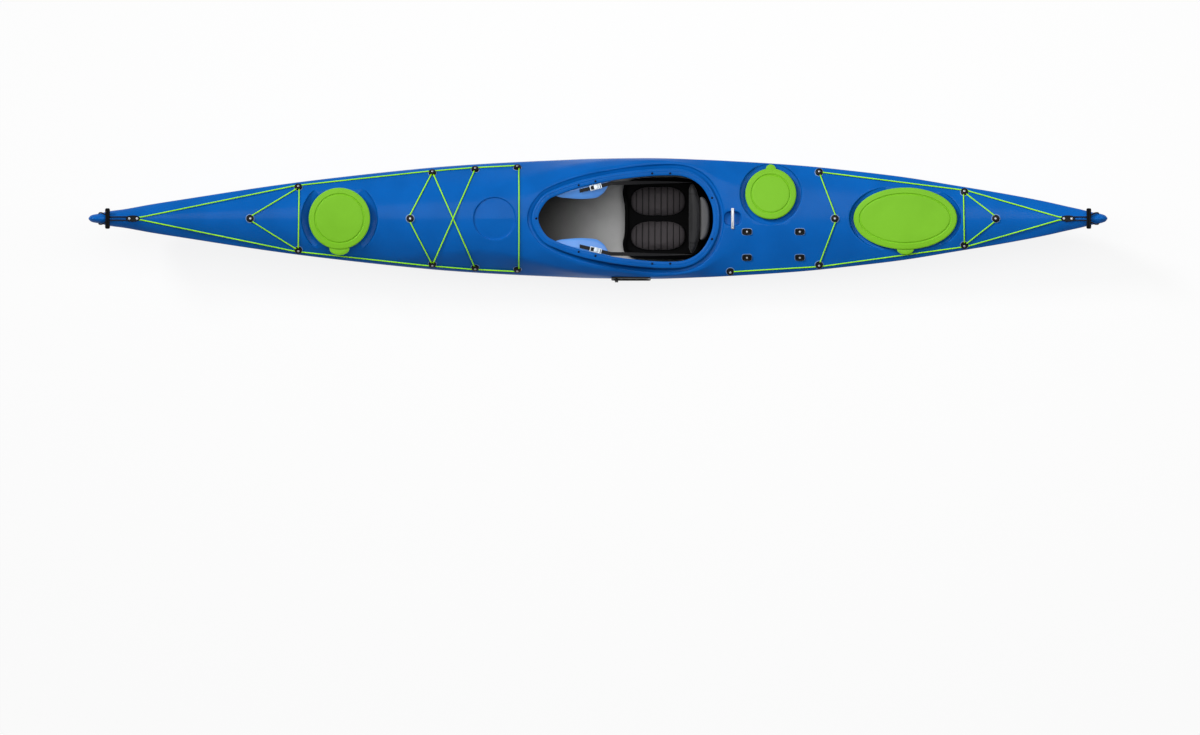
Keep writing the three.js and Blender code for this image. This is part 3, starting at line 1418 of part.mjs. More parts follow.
// Materials
const finish = (color, roughness, metalness = 0) =>
  new THREE.MeshStandardMaterial({ color, roughness, metalness });
const blue = finish("#0f5fb4", 0.25);
const lime = finish("#80d024", 0.45);
const limeCord = finish("#8fe01c", 0.6);
const black = finish("#141416", 0.5);
const foam = finish("#3a3a3c", 0.9);
const seatBlack = finish("#0c0c0e", 0.6);
const grey = finish("#8c8f92", 0.7);
const steel = finish("#c9cbce", 0.25, 0.9);

// The boat
const meshTolerance = 0.05;
const boat = new THREE.Group();
function add(name, solid, material) {
  const mesh = new THREE.Mesh(toGeometry(solid.simplify(meshTolerance)), material);
  mesh.name = name;
  boat.add(mesh);
}
const bothSides = (name, solid, material) => {
  add(`${name}_starboard`, solid, material);
  add(`${name}_port`, placed(solid, mirrored), material);
};
add("hull", hull, blue);
add("deck", deck, blue);
add("cockpit_coaming", coaming, blue);
for (const [name, x] of Object.entries(bulkheads)) add(name, bulkhead(x), grey);
for (const hatch of hatches) {
  add(`${hatch.name}_hatch_rim`, hatchRim(hatch), black);
  add(`${hatch.name}_hatch_lid`, hatchLid(hatch), lime);
}
add("seat_pan", seatPan(), seatBlack);
bothSides("seat_pad", seatPad().translate([padX, padY, padSeatZ]), foam);
add("back_band", joined([backBand(), strap(), placed(strap(), mirrored)]), foam);
add("back_pad", backPad(), foam);
bothSides("thigh_brace", braceWithBuckle(), blue);
bothSides("footrest_rail", footRail(), black);
bothSides("footrest_pedal", footPedal(), black);
add("skeg_case", skegCase(), grey);
add("skeg_blade", skegBlade(), black);
add("skeg_slider_track", sliderTrack(), black);
add("skeg_slider_knob", sliderKnob(), black);
add("skeg_cable", cable, black);
for (const end of ends) {
  add(`${end.name}_toggle`, toggle(end), black);
  add(`${end.name}_end_fitting`, endFitting(end), black);
}
add("security_bar", securityBar(), steel);
clipAlongShares.forEach((alongShare, i) =>
  clipOutShares.forEach((outShare, j) =>
    add(`deck_clip_${2 * i + j + 1}`, deckClip(behind(alongShare), across(outShare)), black),
  ),
);
for (const name of Object.keys(fittings)) add(name, deckFitting(name), black);
for (const [name, stops] of Object.entries(lines)) {
  add(name, deckLine(stops, name === "fore_bungee" ? foreCrossing : undefined), limeCord);
}

export default boat;
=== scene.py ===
# %% [markdown]
# # A sea kayak, dressed for its picture
# The boat is a touring kayak about 4.9 m long: a glossy thermoformed hull and deck, a
# keyhole cockpit with a moulded seat, three soft hatch lids, deck lines and a skeg.
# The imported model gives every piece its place. This lesson builds finer pieces on top
# of it, with round edges, sewn pads, cords and bolts, and paints them with node materials.

# %% Start
import bisect
import math

import bpy
import numpy as np
from mathutils import Matrix, Vector
from mathutils.bvhtree import BVHTree


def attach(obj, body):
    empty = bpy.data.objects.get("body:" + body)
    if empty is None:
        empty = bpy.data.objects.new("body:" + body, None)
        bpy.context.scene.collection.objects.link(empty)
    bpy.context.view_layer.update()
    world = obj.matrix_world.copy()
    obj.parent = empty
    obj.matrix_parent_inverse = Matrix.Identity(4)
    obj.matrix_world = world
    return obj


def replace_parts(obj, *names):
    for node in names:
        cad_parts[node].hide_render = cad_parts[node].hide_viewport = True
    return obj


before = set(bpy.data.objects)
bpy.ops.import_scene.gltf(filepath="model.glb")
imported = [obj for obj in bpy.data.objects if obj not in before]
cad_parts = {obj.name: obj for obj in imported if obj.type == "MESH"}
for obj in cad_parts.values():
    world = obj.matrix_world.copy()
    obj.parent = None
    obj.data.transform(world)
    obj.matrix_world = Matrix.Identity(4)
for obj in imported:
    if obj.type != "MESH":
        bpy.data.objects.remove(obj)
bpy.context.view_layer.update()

# %% [markdown]
# ## Camera
# The picture is a drawing seen straight from above, so nothing shrinks with distance.
# An orthographic camera gives that. Its scale is the width of the frame in metres, and
# the boat lies in the upper half of the frame, so the camera stands off to one side.

# %% Camera
FRAME_WIDTH, CAMERA_PLACE, CAMERA_REACH = 5.771, (0.0096, -0.7165, 6), 60
AT_ORIGIN = (0, 0, 0)


def new_object(name, data, place=AT_ORIGIN):
    made = bpy.data.objects.new(name, data)
    bpy.context.collection.objects.link(made)
    made.location = place
    return made


camera_data = bpy.data.cameras.new("plan_camera")
camera_data.type = "ORTHO"
camera_data.ortho_scale, camera_data.clip_end = FRAME_WIDTH, CAMERA_REACH
bpy.context.scene.camera = new_object("plan_camera", camera_data, CAMERA_PLACE)
bpy.context.scene.view_settings.view_transform = "Standard"
print("frame width in metres", camera_data.ortho_scale)

# %% [markdown]
# ## Node helpers
# Sky, finishes and floor are all small graphs of nodes. One helper adds a node with its
# settings and fills its sockets, with a number or with a link from another node.

# %% Node helpers
def fill(tree, socket, value):
    """Links a socket to another node's output, or sets it to a number or colour."""
    if isinstance(value, bpy.types.NodeSocket):
        tree.links.new(value, socket)
    else:
        socket.default_value = value


def add_node(tree, kind, sockets=(), **settings):
    made = tree.nodes.new("ShaderNode" + kind)
    for setting, value in settings.items():
        setattr(made, setting, value)
    for socket, value in dict(sockets).items():
        fill(tree, made.inputs[socket], value)
    return made


def sum_of(tree, operation, first, second=0):
    """The output of a node that does one sum on two numbers or outputs."""
    return add_node(tree, "Math", {0: first, 1: second}, operation=operation).outputs[0]


def background_rays(tree):
    """One for the rays that should see a white background, nought for the rest."""
    path_kind = add_node(tree, "LightPath")
    seen = path_kind.outputs["Is Camera Ray"]
    for kind in ("Is Glossy Ray", "Is Transmission Ray"):
        seen = sum_of(tree, "MAXIMUM", seen, path_kind.outputs[kind])
    return seen


print("node helpers ready")

# %% [markdown]
# ## Light
# A studio would hang one long soft box over the boat, a little to starboard. It draws
# the pale bands along the deck. A broad light far beyond the starboard bow, even from tip
# to tip, leaves the port flank deep blue and shades the recesses on one side. A weak sky
# fills the shadows. The background is white only for the camera and for reflections, so
# that it adds no light to the plastic.

# %% Lights
BOX_PLACE, BOX_AIM, BOX_SIZE, BOX_POWER = (0.3, 1.1, 4.4), (0.3, 0, 0.2), (9, 2.2), 182
FAR_WAY, FAR_STRENGTH, FAR_ANGLE = (1, -0.8, -1), 1.76, 0.24
SKY_STRENGTH, WHITE = 0.13, (1, 1, 1, 1)


def lamp(name, kind, way, power, place=AT_ORIGIN):
    made = new_object(name, bpy.data.lights.new(name, kind), place)
    made.data.energy = power
    made.rotation_euler = Vector(way).to_track_quat("-Z", "Y").to_euler()
    return made


soft_box = lamp("long_soft_box", "AREA", Vector(BOX_AIM) - Vector(BOX_PLACE), BOX_POWER, BOX_PLACE)
soft_box.data.shape = "RECTANGLE"
soft_box.data.size, soft_box.data.size_y = BOX_SIZE
soft_box.visible_camera = False
lamp("far_light", "SUN", FAR_WAY, FAR_STRENGTH).data.angle = FAR_ANGLE

sky = bpy.data.worlds.new("studio_sky")
bpy.context.scene.world = sky
sky.use_nodes = True
tree = sky.node_tree
strength = add_node(tree, "MapRange", {
    "To Min": SKY_STRENGTH, "To Max": 1, "Value": background_rays(tree)})
for socket, value in (("Color", WHITE), ("Strength", strength.outputs["Result"])):
    fill(tree, tree.nodes["Background"].inputs[socket], value)

# %% [markdown]
# ## Node materials
# Each finish is one Principled shader. A noise texture in the object's own metres changes
# its colour and roughness a little and gives a bump, so that no surface is one flat
# colour. Numbers that are the same all over stay on the shader's sockets.

# %% Material helper
CLOUD_SCALE, CLOUD_SPAN, GRAIN_TO_BUMP, SECOND_SHARE = 6, (0.35, 0.65), 4, 0.8


def srgb(*levels):
    """Screen levels from 0 to 255, as the linear numbers that shaders count in."""
    shares = [level / 255 for level in levels]
    return tuple(v / 12.92 if v <= 0.04045 else ((v + 0.055) / 1.055) ** 2.4 for v in shares)


def principled(tree, socket):
    return tree.nodes["Principled BSDF"].inputs[socket]


def emboss(tree, height, strength, distance):
    """Adds a bump over the bump that the shader already has."""
    normal = principled(tree, "Normal")
    sockets = {"Height": height, "Strength": strength, "Distance": distance}
    if normal.is_linked:
        sockets["Normal"] = normal.links[0].from_socket
    fill(tree, normal, add_node(tree, "Bump", sockets).outputs["Normal"])


def recolour(tree, share, colour, blend="MIX"):
    """Blends another colour, by a share, over the colour that the shader already has."""
    base = principled(tree, "Base Color")
    sockets = {0: share, 6: base.links[0].from_socket, 7: colour}
    fill(tree, base, add_node(tree, "Mix", sockets, data_type="RGBA", blend_type=blend).outputs[2])


def noise(tree, scale, detail):
    place = add_node(tree, "TexCoord").outputs["Object"]
    sockets = {"Vector": place, "Scale": scale, "Detail": detail}
    return add_node(tree, "TexNoise", sockets).outputs["Fac"]


def finish(name, levels, second, roughness, grain, bump=0.1, spread=0.08, shine=0.5, **sockets):
    """A Principled finish that wanders between two colours, with a fine grain in metres."""
    made = bpy.data.materials.new(name)
    made.use_nodes = True
    tree = made.node_tree
    colour = srgb(*levels)
    darker = srgb(*second) if second else [c * SECOND_SHARE for c in colour]
    fine = noise(tree, 1 / grain, 3)
    ramp = add_node(tree, "ValToRGB", {"Fac": noise(tree, CLOUD_SCALE, 4)})
    for element, position, tone in zip(ramp.color_ramp.elements, CLOUD_SPAN, (darker, colour)):
        element.position, element.color = position, (*tone, 1)
    rough = add_node(tree, "MapRange", {
        "To Min": roughness - spread, "To Max": roughness + spread, "Value": fine})
    sockets |= {"Base_Color": ramp.outputs["Color"], "Roughness": rough.outputs["Result"],
                "Specular_IOR_Level": shine}
    for socket, value in sockets.items():
        fill(tree, principled(tree, socket.replace("_", " ")), value)
    emboss(tree, fine, bump, grain / GRAIN_TO_BUMP)
    return made


shell_blue = finish("shell_blue", (7, 94, 178), (5, 88, 168), 0.2, 0.0016, 0.04, 0.05,
                    Coat_Weight=0.02, Coat_Roughness=0.1, shine=0.05)
lid_green = finish("lid_green", (119, 186, 33), (114, 180, 28), 0.5, 0.0007, 0.12, shine=0.18)
black_plastic = finish("black_plastic", (17, 17, 18), (11, 11, 12), 0.42, 0.0008, 0.15, shine=0.1)
black_rubber = finish("black_rubber", (13, 13, 14), (9, 9, 10), 0.6, 0.0012, 0.2, shine=0.06)
seat_black = finish("seat_black", (5, 5, 6), (3, 3, 3), 0.5, 0.001, 0.2, shine=0.02)
stainless = finish("stainless", (158, 160, 164), (136, 138, 143), 0.3, 0.0006, 0.05, Metallic=1)
print("finishes", [m.name for m in bpy.data.materials if m.users == 0][:12])

# %% [markdown]
# ## Sections of the boat
# A naval architect draws a hull as a table of sections: at a share of the length, how
# wide it is, how deep, and where the sides turn. The same tables that shaped the packed
# model shape the finer skins here, read through a curve that never overshoots them.

# %% Tables
LENGTH, BEAM, BOW_HEIGHT = 4900, 582, 481
HALF_LENGTH, HALF_BEAM = LENGTH / 2, BEAM / 2
BEAM_SHARES = [
    (0, .01), (.002, .048), (.0045, .064), (.01, .081), (.02, .121), (.035, .155), (.06, .231),
    (.1, .337), (.15, .468), (.2, .588), (.25, .691), (.3, .783), (.35, .861), (.4, .916),
    (.45, .957), (.5, .99), (.55, 1), (.6, .975), (.65, .932), (.7, .874), (.75, .788),
    (.8, .686), (.85, .549), (.9, .408), (.94, .279), (.96, .203), (.975, .147), (.985, .104),
    (.993, .079), (.998, .05), (1, .01),
]
KEEL_SHARES = [
    (0, .92), (.0035, .855), (.01, .755), (.02, .613), (.035, .433), (.05, .308), (.06, .261),
    (.08, .239), (.15, .173), (.2, .131), (.25, .098), (.3, .068), (.35, .046), (.4, .027),
    (.45, .012), (.49, 0), (.61, 0), (.65, .013), (.7, .034), (.75, .057), (.8, .089),
    (.85, .138), (.9, .192), (.94, .24), (.96, .284), (.975, .397), (.985, .525),
    (.993, .657), (.998, .745), (1, .785),
]
SEAM_SHARES = [
    (0, .926), (.0035, .922), (.01, .905), (.02, .881), (.035, .849), (.06, .804), (.1, .734),
    (.15, .657), (.2, .593), (.25, .536), (.3, .486), (.35, .449), (.4, .41), (.45, .38),
    (.5, .363), (.55, .35), (.6, .347), (.65, .36), (.7, .387), (.75, .422), (.8, .473),
    (.85, .53), (.9, .61), (.94, .68), (.96, .718), (.985, .767), (1, .79),
]
RIDGE_SHARES = [
    (0, .934), (.002, .973), (.0045, .99), (.01, .995), (.02, .977), (.035, .954), (.06, .915),
    (.1, .862), (.15, .81), (.2, .77), (.25, .76), (.3, .752), (.4, .754), (.425, .748),
    (.437, .74), (.45, .72), (.463, .695), (.475, .675), (.495, .625), (.515, .567),
    (.535, .515), (.555, .48), (.575, .469), (.6, .476), (.62, .492), (.65, .51), (.7, .525),
    (.75, .55), (.8, .604), (.85, .649), (.9, .703), (.94, .77), (.96, .809), (.985, .842),
    (.994, .842), (.998, .825), (1, .8),
]
KNEE_SHARES = [
    (0, .7, .5), (.01, .85, .5), (.06, .85, .42), (.2, .86, .34), (.26, .87, .37),
    (.3, .83, .45), (.34, .71, .634), (.385, .624, .733), (.425, .726, .728), (.45, .82, .7),
    (.463, .87, .692), (.495, .942, .61), (.515, .965, .5), (.535, .967, .67),
    (.555, .967, .85), (.575, .965, .73), (.6, .95, .53), (.62, .93, .42), (.65, .92, .36),
    (.7, .9, .33), (.75, .88, .33), (.8, .865, .34), (.9, .85, .38), (.94, .84, .4),
    (.99, .82, .45), (1, .7, .5),
]
SHOULDER_SHARES = [
    (0, .35, .75), (.01, .425, .75), (.26, .435, .75), (.3, .415, .75), (.385, .312, .75),
    (.425, .36, .75), (.437, .41, .85), (.45, .535, .93), (.463, .64, .95), (.495, .79, .97),
    (.515, .848, .95), (.535, .892, .94), (.555, .919, .95), (.575, .93, .94), (.6, .856, .97),
    (.62, .64, .97), (.65, .46, .78), (.75, .44, .75), (1, .35, .75),
]
MID_SECTION = [(.1, 0), (.36, .045), (.6, .12), (.8, .27), (.915, .48), (.97, .74), (1, 1)]
END_SECTION = [(.06, 0), (.2, .17), (.36, .34), (.52, .5), (.68, .66), (.84, .83), (1, 1)]
FULLNESS_SHARES = [(0, 0), (.06, .05), (.2, .55), (.35, 1), (.7, 1), (.85, .6), (.95, .1), (1, 0)]
print("rows in the tables", sum(map(len, (BEAM_SHARES, KEEL_SHARES, SEAM_SHARES, RIDGE_SHARES))))

# %% [markdown]
# A curve through the rows needs slopes. The harmonic mean of the two neighbouring slopes
# keeps it from overshooting, and a slope is zero where the rows turn back.

# %% Curves through the tables
def smooth(rows, column=1):
    xs = [row[0] for row in rows]
    ys = [row[column] for row in rows]
    steps = [(ys[i + 1] - ys[i]) / (xs[i + 1] - xs[i]) for i in range(len(rows) - 1)]
    inner = [0 if a * b <= 0 else 2 * a * b / (a + b) for a, b in zip(steps, steps[1:])]
    slopes = [steps[0]] + inner + [steps[-1]]

    def at(share):
        s = min(max(share, xs[0]), xs[-1])
        i = min(bisect.bisect_right(xs, s) - 1, len(xs) - 2)
        run = xs[i + 1] - xs[i]
        t = (s - xs[i]) / run
        h = t * t * (3 - 2 * t)
        bend = run * (t * (1 - t) ** 2 * slopes[i] - t * t * (1 - t) * slopes[i + 1])
        return ys[i] * (1 - h) + ys[i + 1] * h + bend

    return at


def along(share):
    return share * LENGTH - HALF_LENGTH


def across(share):
    return share * HALF_BEAM


def up(share):
    return share * BOW_HEIGHT


def share_of(x):
    return (x + HALF_LENGTH) / LENGTH


def mix(a, b, t):
    return a + (b - a) * t


beam_at, keel_at, seam_at = map(smooth, (BEAM_SHARES, KEEL_SHARES, SEAM_SHARES))
ridge_at, fullness_at = smooth(RIDGE_SHARES), smooth(FULLNESS_SHARES)
knee_out, knee_up = smooth(KNEE_SHARES), smooth(KNEE_SHARES, 2)
shoulder_out, shoulder_up = smooth(SHOULDER_SHARES), smooth(SHOULDER_SHARES, 2)
COCKPIT_FRONT_SHARE = 0.4414
print("crest over the cockpit's front, mm", round(up(ridge_at(COCKPIT_FRONT_SHARE)), 1))

# %% [markdown]
# ## Rounded sections
# A formed sheet has no sharp folds. Each corner of a section is swapped for a short
# parabola whose reach is a share of the sides it joins: long on the crown of the deck,
# short at the knee, so the paddle facets stay crisp and catch the light.

# %% Half sections
SEAM_GAP, GUNWALE_BAND, BAND_SHARE, BAND_LEAN = 0.3, 20, 0.45, 0.06
CROWN_RISE, FACET_RISE, OFF_CENTRE = 0.75, 0.583, 0.3
DECK_REACHES = (0, .45, .45, .45, .4, .4, 0)
HULL_REACHES = (0, .45, .45, .45, .45, .45, 0)


def hull_half(s):
    b, keel, seam = across(beam_at(s)), up(keel_at(s)), up(seam_at(s))
    full = fullness_at(s)
    return [(mix(e[0], m[0], full) * b, mix(keel, seam, mix(e[1], m[1], full)))
            for e, m in zip(END_SECTION, MID_SECTION)]


def deck_half(s):
    b, seam, ridge = across(beam_at(s)), up(seam_at(s)) + SEAM_GAP, up(ridge_at(s))
    knee = (knee_out(s) * b, mix(seam, ridge, knee_up(s)))
    shoulder = (shoulder_out(s) * b, mix(knee[1], ridge, shoulder_up(s)))
    band = min(GUNWALE_BAND, BAND_SHARE * (knee[1] - seam))
    return [
        (0, ridge), (shoulder[0] / 2, mix(shoulder[1], ridge, CROWN_RISE)), shoulder,
        ((shoulder[0] + knee[0]) / 2, mix(knee[1], shoulder[1], FACET_RISE)), knee,
        (mix(b, knee[0], BAND_LEAN), seam + band), (b, seam),
    ]


def inset(half, wall, side):
    """A half section moved inward by a sheet's thickness: side 1 for a hull, -1 for a deck."""
    def normal(p, q):
        run = math.hypot(q[0] - p[0], q[1] - p[1])
        return -side * (q[1] - p[1]) / run, side * (q[0] - p[0]) / run

    normals = [normal(p, q) for p, q in zip(half, half[1:])]
    first = (0, side) if half[0][0] > 0 else (-normals[0][0], normals[0][1])
    made = []
    corners = zip(half, [first] + normals, normals + normals[-1:])
    for i, (point, before, after) in enumerate(corners):
        scale = wall / (1 + before[0] * after[0] + before[1] * after[1])
        y = max(point[0] + scale * (before[0] + after[0]), OFF_CENTRE * (i + 1))
        on_centre = half[0][0] == 0 and i == 0
        made.append((0 if on_centre else y, point[1] + scale * (before[1] + after[1])))
    return made


def parabola(start, corner, stop, steps):
    """Points from start to stop on the curve that a corner between them pulls out."""
    shares = [k / steps for k in range(steps + 1)]
    return [start.lerp(corner, t).lerp(corner.lerp(stop, t), t) for t in shares]


def rounded(half, reaches, steps):
    """The half section with each inner corner swapped for a parabola of steps spans."""
    points = [half[0]]
    for i in range(1, len(half) - 1):
        before, corner, after = (Vector(half[k]) for k in (i - 1, i, i + 1))
        start, stop = (corner.lerp(end, reaches[i]) for end in (before, after))
        points += map(tuple, parabola(start, corner, stop, steps))
    return points + [half[-1]]


print("points in a rounded half section", len(rounded(deck_half(0.4), DECK_REACHES, 5)))

# %% [markdown]
# ## Closed skins
# Rings of equally many points make a skin: squares join ring to ring, and a fan closes
# each end. Closed skins can be cut from each other, as a router cuts a moulding, and
# that is how the recesses and openings are made. Sizes stay in millimetres up to here.

# %% Skins and cuts
MM = 0.001
TIP_SHARES = [.0008, .0015, .003, .0045, .006, .008, .01, .0125, .015, .0175]


def shade(made, crease=35):
    made.data.polygons.foreach_set("use_smooth", [True] * len(made.data.polygons))
    made.data.set_sharp_from_angle(angle=math.radians(crease))


def piece(name, points, faces, material=None, crease=35):
    """A mesh object from points in millimetres, shaded smooth apart from sharp creases."""
    mesh = bpy.data.meshes.new(name)
    mesh.from_pydata([(x * MM, y * MM, z * MM) for x, y, z in points], [], faces)
    mesh.update()
    if material:
        mesh.materials.append(material)
    made = new_object(name, mesh)
    shade(made, crease)
    return made


def outward(made, crease):
    """Turns all faces outward, going by the sign of the enclosed volume."""
    made.data.calc_loop_triangles()
    co = np.array([v.co for v in made.data.vertices])
    a, b, c = (co[corner] for corner in np.array([t.vertices for t in made.data.loop_triangles]).T)
    if np.einsum("ij,ij->i", a, np.cross(b, c)).sum() < 0:
        made.data.flip_normals()
        shade(made, crease)
    return made


def skin(name, rings, material=None, loop=False, crease=35):
    """A closed skin over rings of points, or a hoop when the last ring joins the first."""
    n, last = len(rings[0]), (len(rings) - 1) * len(rings[0])
    points = [p for ring in rings for p in ring]
    faces = []
    for r in range(len(rings) if loop else len(rings) - 1):
        a, b = r * n, (r + 1) % len(rings) * n
        faces += [(a + i, a + (i + 1) % n, b + (i + 1) % n, b + i) for i in range(n)]
    for start, way in () if loop else ((0, -1), (last, 1)):
        points.append(tuple(np.mean(points[start:start + n], axis=0)))
        for i in range(n):
            faces.append((len(points) - 1, *(start + i, start + (i + 1) % n)[::way]))
    return outward(piece(name, points, faces, material, crease), crease)


def evaluated_mesh(made):
    bpy.context.view_layer.update()
    shown = made.evaluated_get(bpy.context.evaluated_depsgraph_get())
    return bpy.data.meshes.new_from_object(shown)


def cut(target, tool, operation="DIFFERENCE"):
    """Cuts one closed skin by another, leaves the result in the mesh and drops the tool."""
    change = target.modifiers.new("cut", "BOOLEAN")
    change.operation, change.solver, change.object = operation, "MANIFOLD", tool
    old, result = target.data, evaluated_mesh(target)
    target.modifiers.remove(change)
    target.data = result
    bpy.data.meshes.remove(old)
    bpy.data.objects.remove(tool)
    return target


def loft(name, shares, half_at, material=None):
    rings = []
    for s in shares:
        half = half_at(s)
        other = [(-y, z) for y, z in reversed(half) if y > 0]
        rings.append([(along(s), y, z) for y, z in half + other])
    return skin(name, rings, material)


def fine_shares(first, last, step):
    """Even shares from first to last, closer together near the two tips of the boat."""
    count = round((last - first) / step)
    shares = [first + (last - first) * i / count for i in range(count + 1)]
    tips = TIP_SHARES + [1 - s for s in TIP_SHARES]
    return sorted(set(round(s, 5) for s in shares + [s for s in tips if first < s < last]))


SKIN_SHARES, ROOM_SHARES = fine_shares(0, 1, 0.0025), fine_shares(0.035, 0.97, 0.005)
print("stations", len(SKIN_SHARES), "outside and", len(ROOM_SHARES), "inside")

# %% [markdown]
# ## Hull and deck skins
# The hull is the lower moulding and the deck the upper one. They are drawn as full
# bodies first. Each is then hollowed by a smaller copy of itself, which leaves a wall
# 4 mm thick, so that a lifted lid shows a real edge.

# %% Full bodies and rooms
WALL, SEAT_GAP, OVERRUN, CAST_FROM = 4, 0.3, 40, 2


def outside(name, half_at, reaches, steps):
    return loft(name, SKIN_SHARES, lambda s: rounded(half_at(s), reaches, steps), shell_blue)


def room(name, half_at, reaches, steps, wall, side):
    """The outside moved in by a wall, and drawn on past the seam so that the cut is clean."""
    def inner_half(s):
        half = rounded(inset(half_at(s), wall, side), reaches, steps)
        return half + [(half[-1][0], half[-1][1] + side * OVERRUN)]
    return loft(name, ROOM_SHARES, inner_half)


def hull_room(wall):
    return room("hull_room", hull_half, HULL_REACHES, 3, wall, 1)


def tree_of(made):
    return BVHTree.FromObject(made, bpy.context.evaluated_depsgraph_get())


hull_skin = outside("hull_skin", hull_half, HULL_REACHES, 4)
deck_skin = outside("deck_skin", deck_half, DECK_REACHES, 5)
deck_tree = tree_of(deck_skin)


def on_deck(x, y):
    """The deck's point and outward direction over a place in plan, in millimetres."""
    hit, normal, _, _ = deck_tree.ray_cast(Vector((x * MM, y * MM, CAST_FROM)), Vector((0, 0, -1)))
    if hit is None:
        return Vector((x, y, up(seam_at(share_of(x))))), Vector((0, 0, 1))
    return hit / MM, normal if normal.z > 0 else -normal


def deck_height(x, y):
    return on_deck(x, y)[0].z


print("faces", len(hull_skin.data.polygons), len(deck_skin.data.polygons))

# %% [markdown]
# ## Outlines and tools
# Every recess has an outline in plan and a profile: how far it grows out from the
# outline at each depth. The last steps of the profile lean outward where the tool leaves
# the deck, which turns a knife edge into the soft lip of a formed sheet.

# %% Outlines
def outline_of(points, side=1):
    """Each point of a closed outline with its outward direction."""
    made = []
    for (x, y), (ax, ay), (bx, by) in zip(points, points[-1:] + points, points[1:] + points[:1]):
        run = math.hypot(bx - ax, by - ay)
        made.append((x, y, side * (by - ay) / run, side * (ax - bx) / run))
    return made


def round_turns(sides):
    return [2 * math.pi * i / sides for i in range(sides)]


def oval(half_along, half_across, sides, squareness=2):
    def bend(v):
        return math.copysign(abs(v) ** (2 / squareness), v)
    return outline_of([(half_along * bend(math.cos(t)), half_across * bend(math.sin(t)))
                       for t in round_turns(sides)])


def layer(outline, grow, height):
    """The outline grown by a distance, at a height that may follow a surface."""
    ring = [(x + nx * grow, y + ny * grow) for x, y, nx, ny in outline]
    return [(x, y, height(x, y) if callable(height) else height) for x, y in ring]


def stack(name, outline, profile, material=None, loop=False, crease=35):
    return skin(name, [layer(outline, *row) for row in profile], material, loop, crease)


def catmull(controls, steps):
    """A closed smooth curve through the controls, with steps spans from one to the next."""
    pts = [Vector(c) for c in controls]
    made = []
    for i in range(len(pts)):
        a, b, c, d = (pts[(i + k) % len(pts)] for k in (-1, 0, 1, 2))
        for t in (k / steps for k in range(steps)):
            made.append(tuple(b + (c - a) * (0.5 * t)
                              + (a * 2 - b * 5 + c * 4 - d) * (0.5 * t * t)
                              + (b * 3 - a - c * 3 + d) * (0.5 * t ** 3)))
    return made


COCKPIT_SHARES = [
    (0, 0), (.045, .385), (.12, .555), (.25, .735), (.4, .865), (.56, .955), (.72, 1),
    (.84, .965), (.93, .75), (.985, .37), (1, 0),
]
COCKPIT_FRONT, COCKPIT_LENGTH, COCKPIT_HALF = along(COCKPIT_FRONT_SHARE), 841, 207


def in_cockpit(share):
    return COCKPIT_FRONT + share * COCKPIT_LENGTH


cockpit_side = [(in_cockpit(x), y * COCKPIT_HALF) for x, y in COCKPIT_SHARES]
port_side = [(x, -y) for x, y in reversed(cockpit_side[1:-1])]
cockpit = outline_of(catmull(cockpit_side + port_side, 8), -1)
print("points round the cockpit", len(cockpit))

# %% [markdown]
# ## The recesses in the deck
# The coaming stands in a shallow trough, each lid lies in a dish so that waves run over
# it, and two bare recesses on the centre line take a compass and a lock. Where the deck
# falls below a dish's floor, the dish runs out at its side, as it does on the boat.

# %% Recess tools
TROUGH_DEPTH, TROUGH_GROW, RISER_IN, RISER_OUT = 9, 50, 4, 9
LIP_SHARES = [
    (0, 1), (.11, .94), (.27, .8), (.44, .59), (.6, .3), (.68, .18), (.77, .07), (.87, .01), (1, 0),
]
LIP_WIDTH, LIP_FRONT, LIP_BACK = 33, 0.753, 0.504
LIP_PROFILE = ((0, -4), (.7, -2.3), (2, -.9), (4.2, .15), (4.4, OVERRUN))
LIP_CLEAR, LIP_CALM, DISC_FOOT, DISC_WALL = 1.2, 8, 1.5, 3.4
DISC_SHARES = (.04, .25, .5, .72, .88, .955)
COMPASS_RADIUS, COMPASS_DEPTH, BAR_DEPTH = 101, 9, 22
lip_rise = smooth(LIP_SHARES)


def ridge_height(x, y=0):
    return up(ridge_at(share_of(x)))


def trough_floor(x, y=0):
    return ridge_height(x) - TROUGH_DEPTH


def lip_top(x, y=0):
    share = (x - COCKPIT_FRONT + LIP_WIDTH) / (COCKPIT_LENGTH + 2 * LIP_WIDTH)
    return up(mix(LIP_BACK, LIP_FRONT, lip_rise(share)))


def raised(surface, rise):
    """A surface moved up by a distance, or down by a negative one."""
    return lambda x, y: surface(x, y) + rise


def flat(height):
    return lambda x, y: height


def shifted(outline, dx):
    return [(x + dx, y, nx, ny) for x, y, nx, ny in outline]


def dish(name, outline, floor, grow, surface, foot=3):
    """A cutting tool with a flat floor, a rounded foot and a soft lip where it leaves the deck."""
    def lip(drop):
        def height(x, y):
            return max(surface(x, y) + drop, floor(x, y) + foot + LIP_CLEAR + drop / LIP_CALM)
        return height
    inner = layer(outline, grow - foot, floor)
    core = [tuple(0.5 * (p + q) for p, q in zip(point, np.mean(inner, axis=0))) for point in inner]
    profile = [(grow - foot / 3, raised(floor, foot / 3)), (grow, raised(floor, foot))]
    profile += [(grow + out, lip(drop)) for out, drop in LIP_PROFILE]
    rings = [[(x, y, floor(x, y)) for x, y, _ in core], inner]
    return skin(name, rings + [layer(outline, *row) for row in profile])


def sunk_disc(name, outline, centre, depth):
    """A recess whose floor follows the deck at one depth below it."""
    rings = []
    for share in DISC_SHARES:
        spots = [(centre + (x - centre) * share, y * share) for x, y, _, _ in outline]
        rings.append([(x, y, deck_height(x, y) - depth) for x, y in spots])
    foot = LIP_CLEAR - depth
    for out, drop in ((-DISC_FOOT, foot), (0, DISC_WALL - depth)) + LIP_PROFILE:
        rings.append(layer(outline, out, raised(deck_height, max(drop, foot))))
    return skin(name, rings)


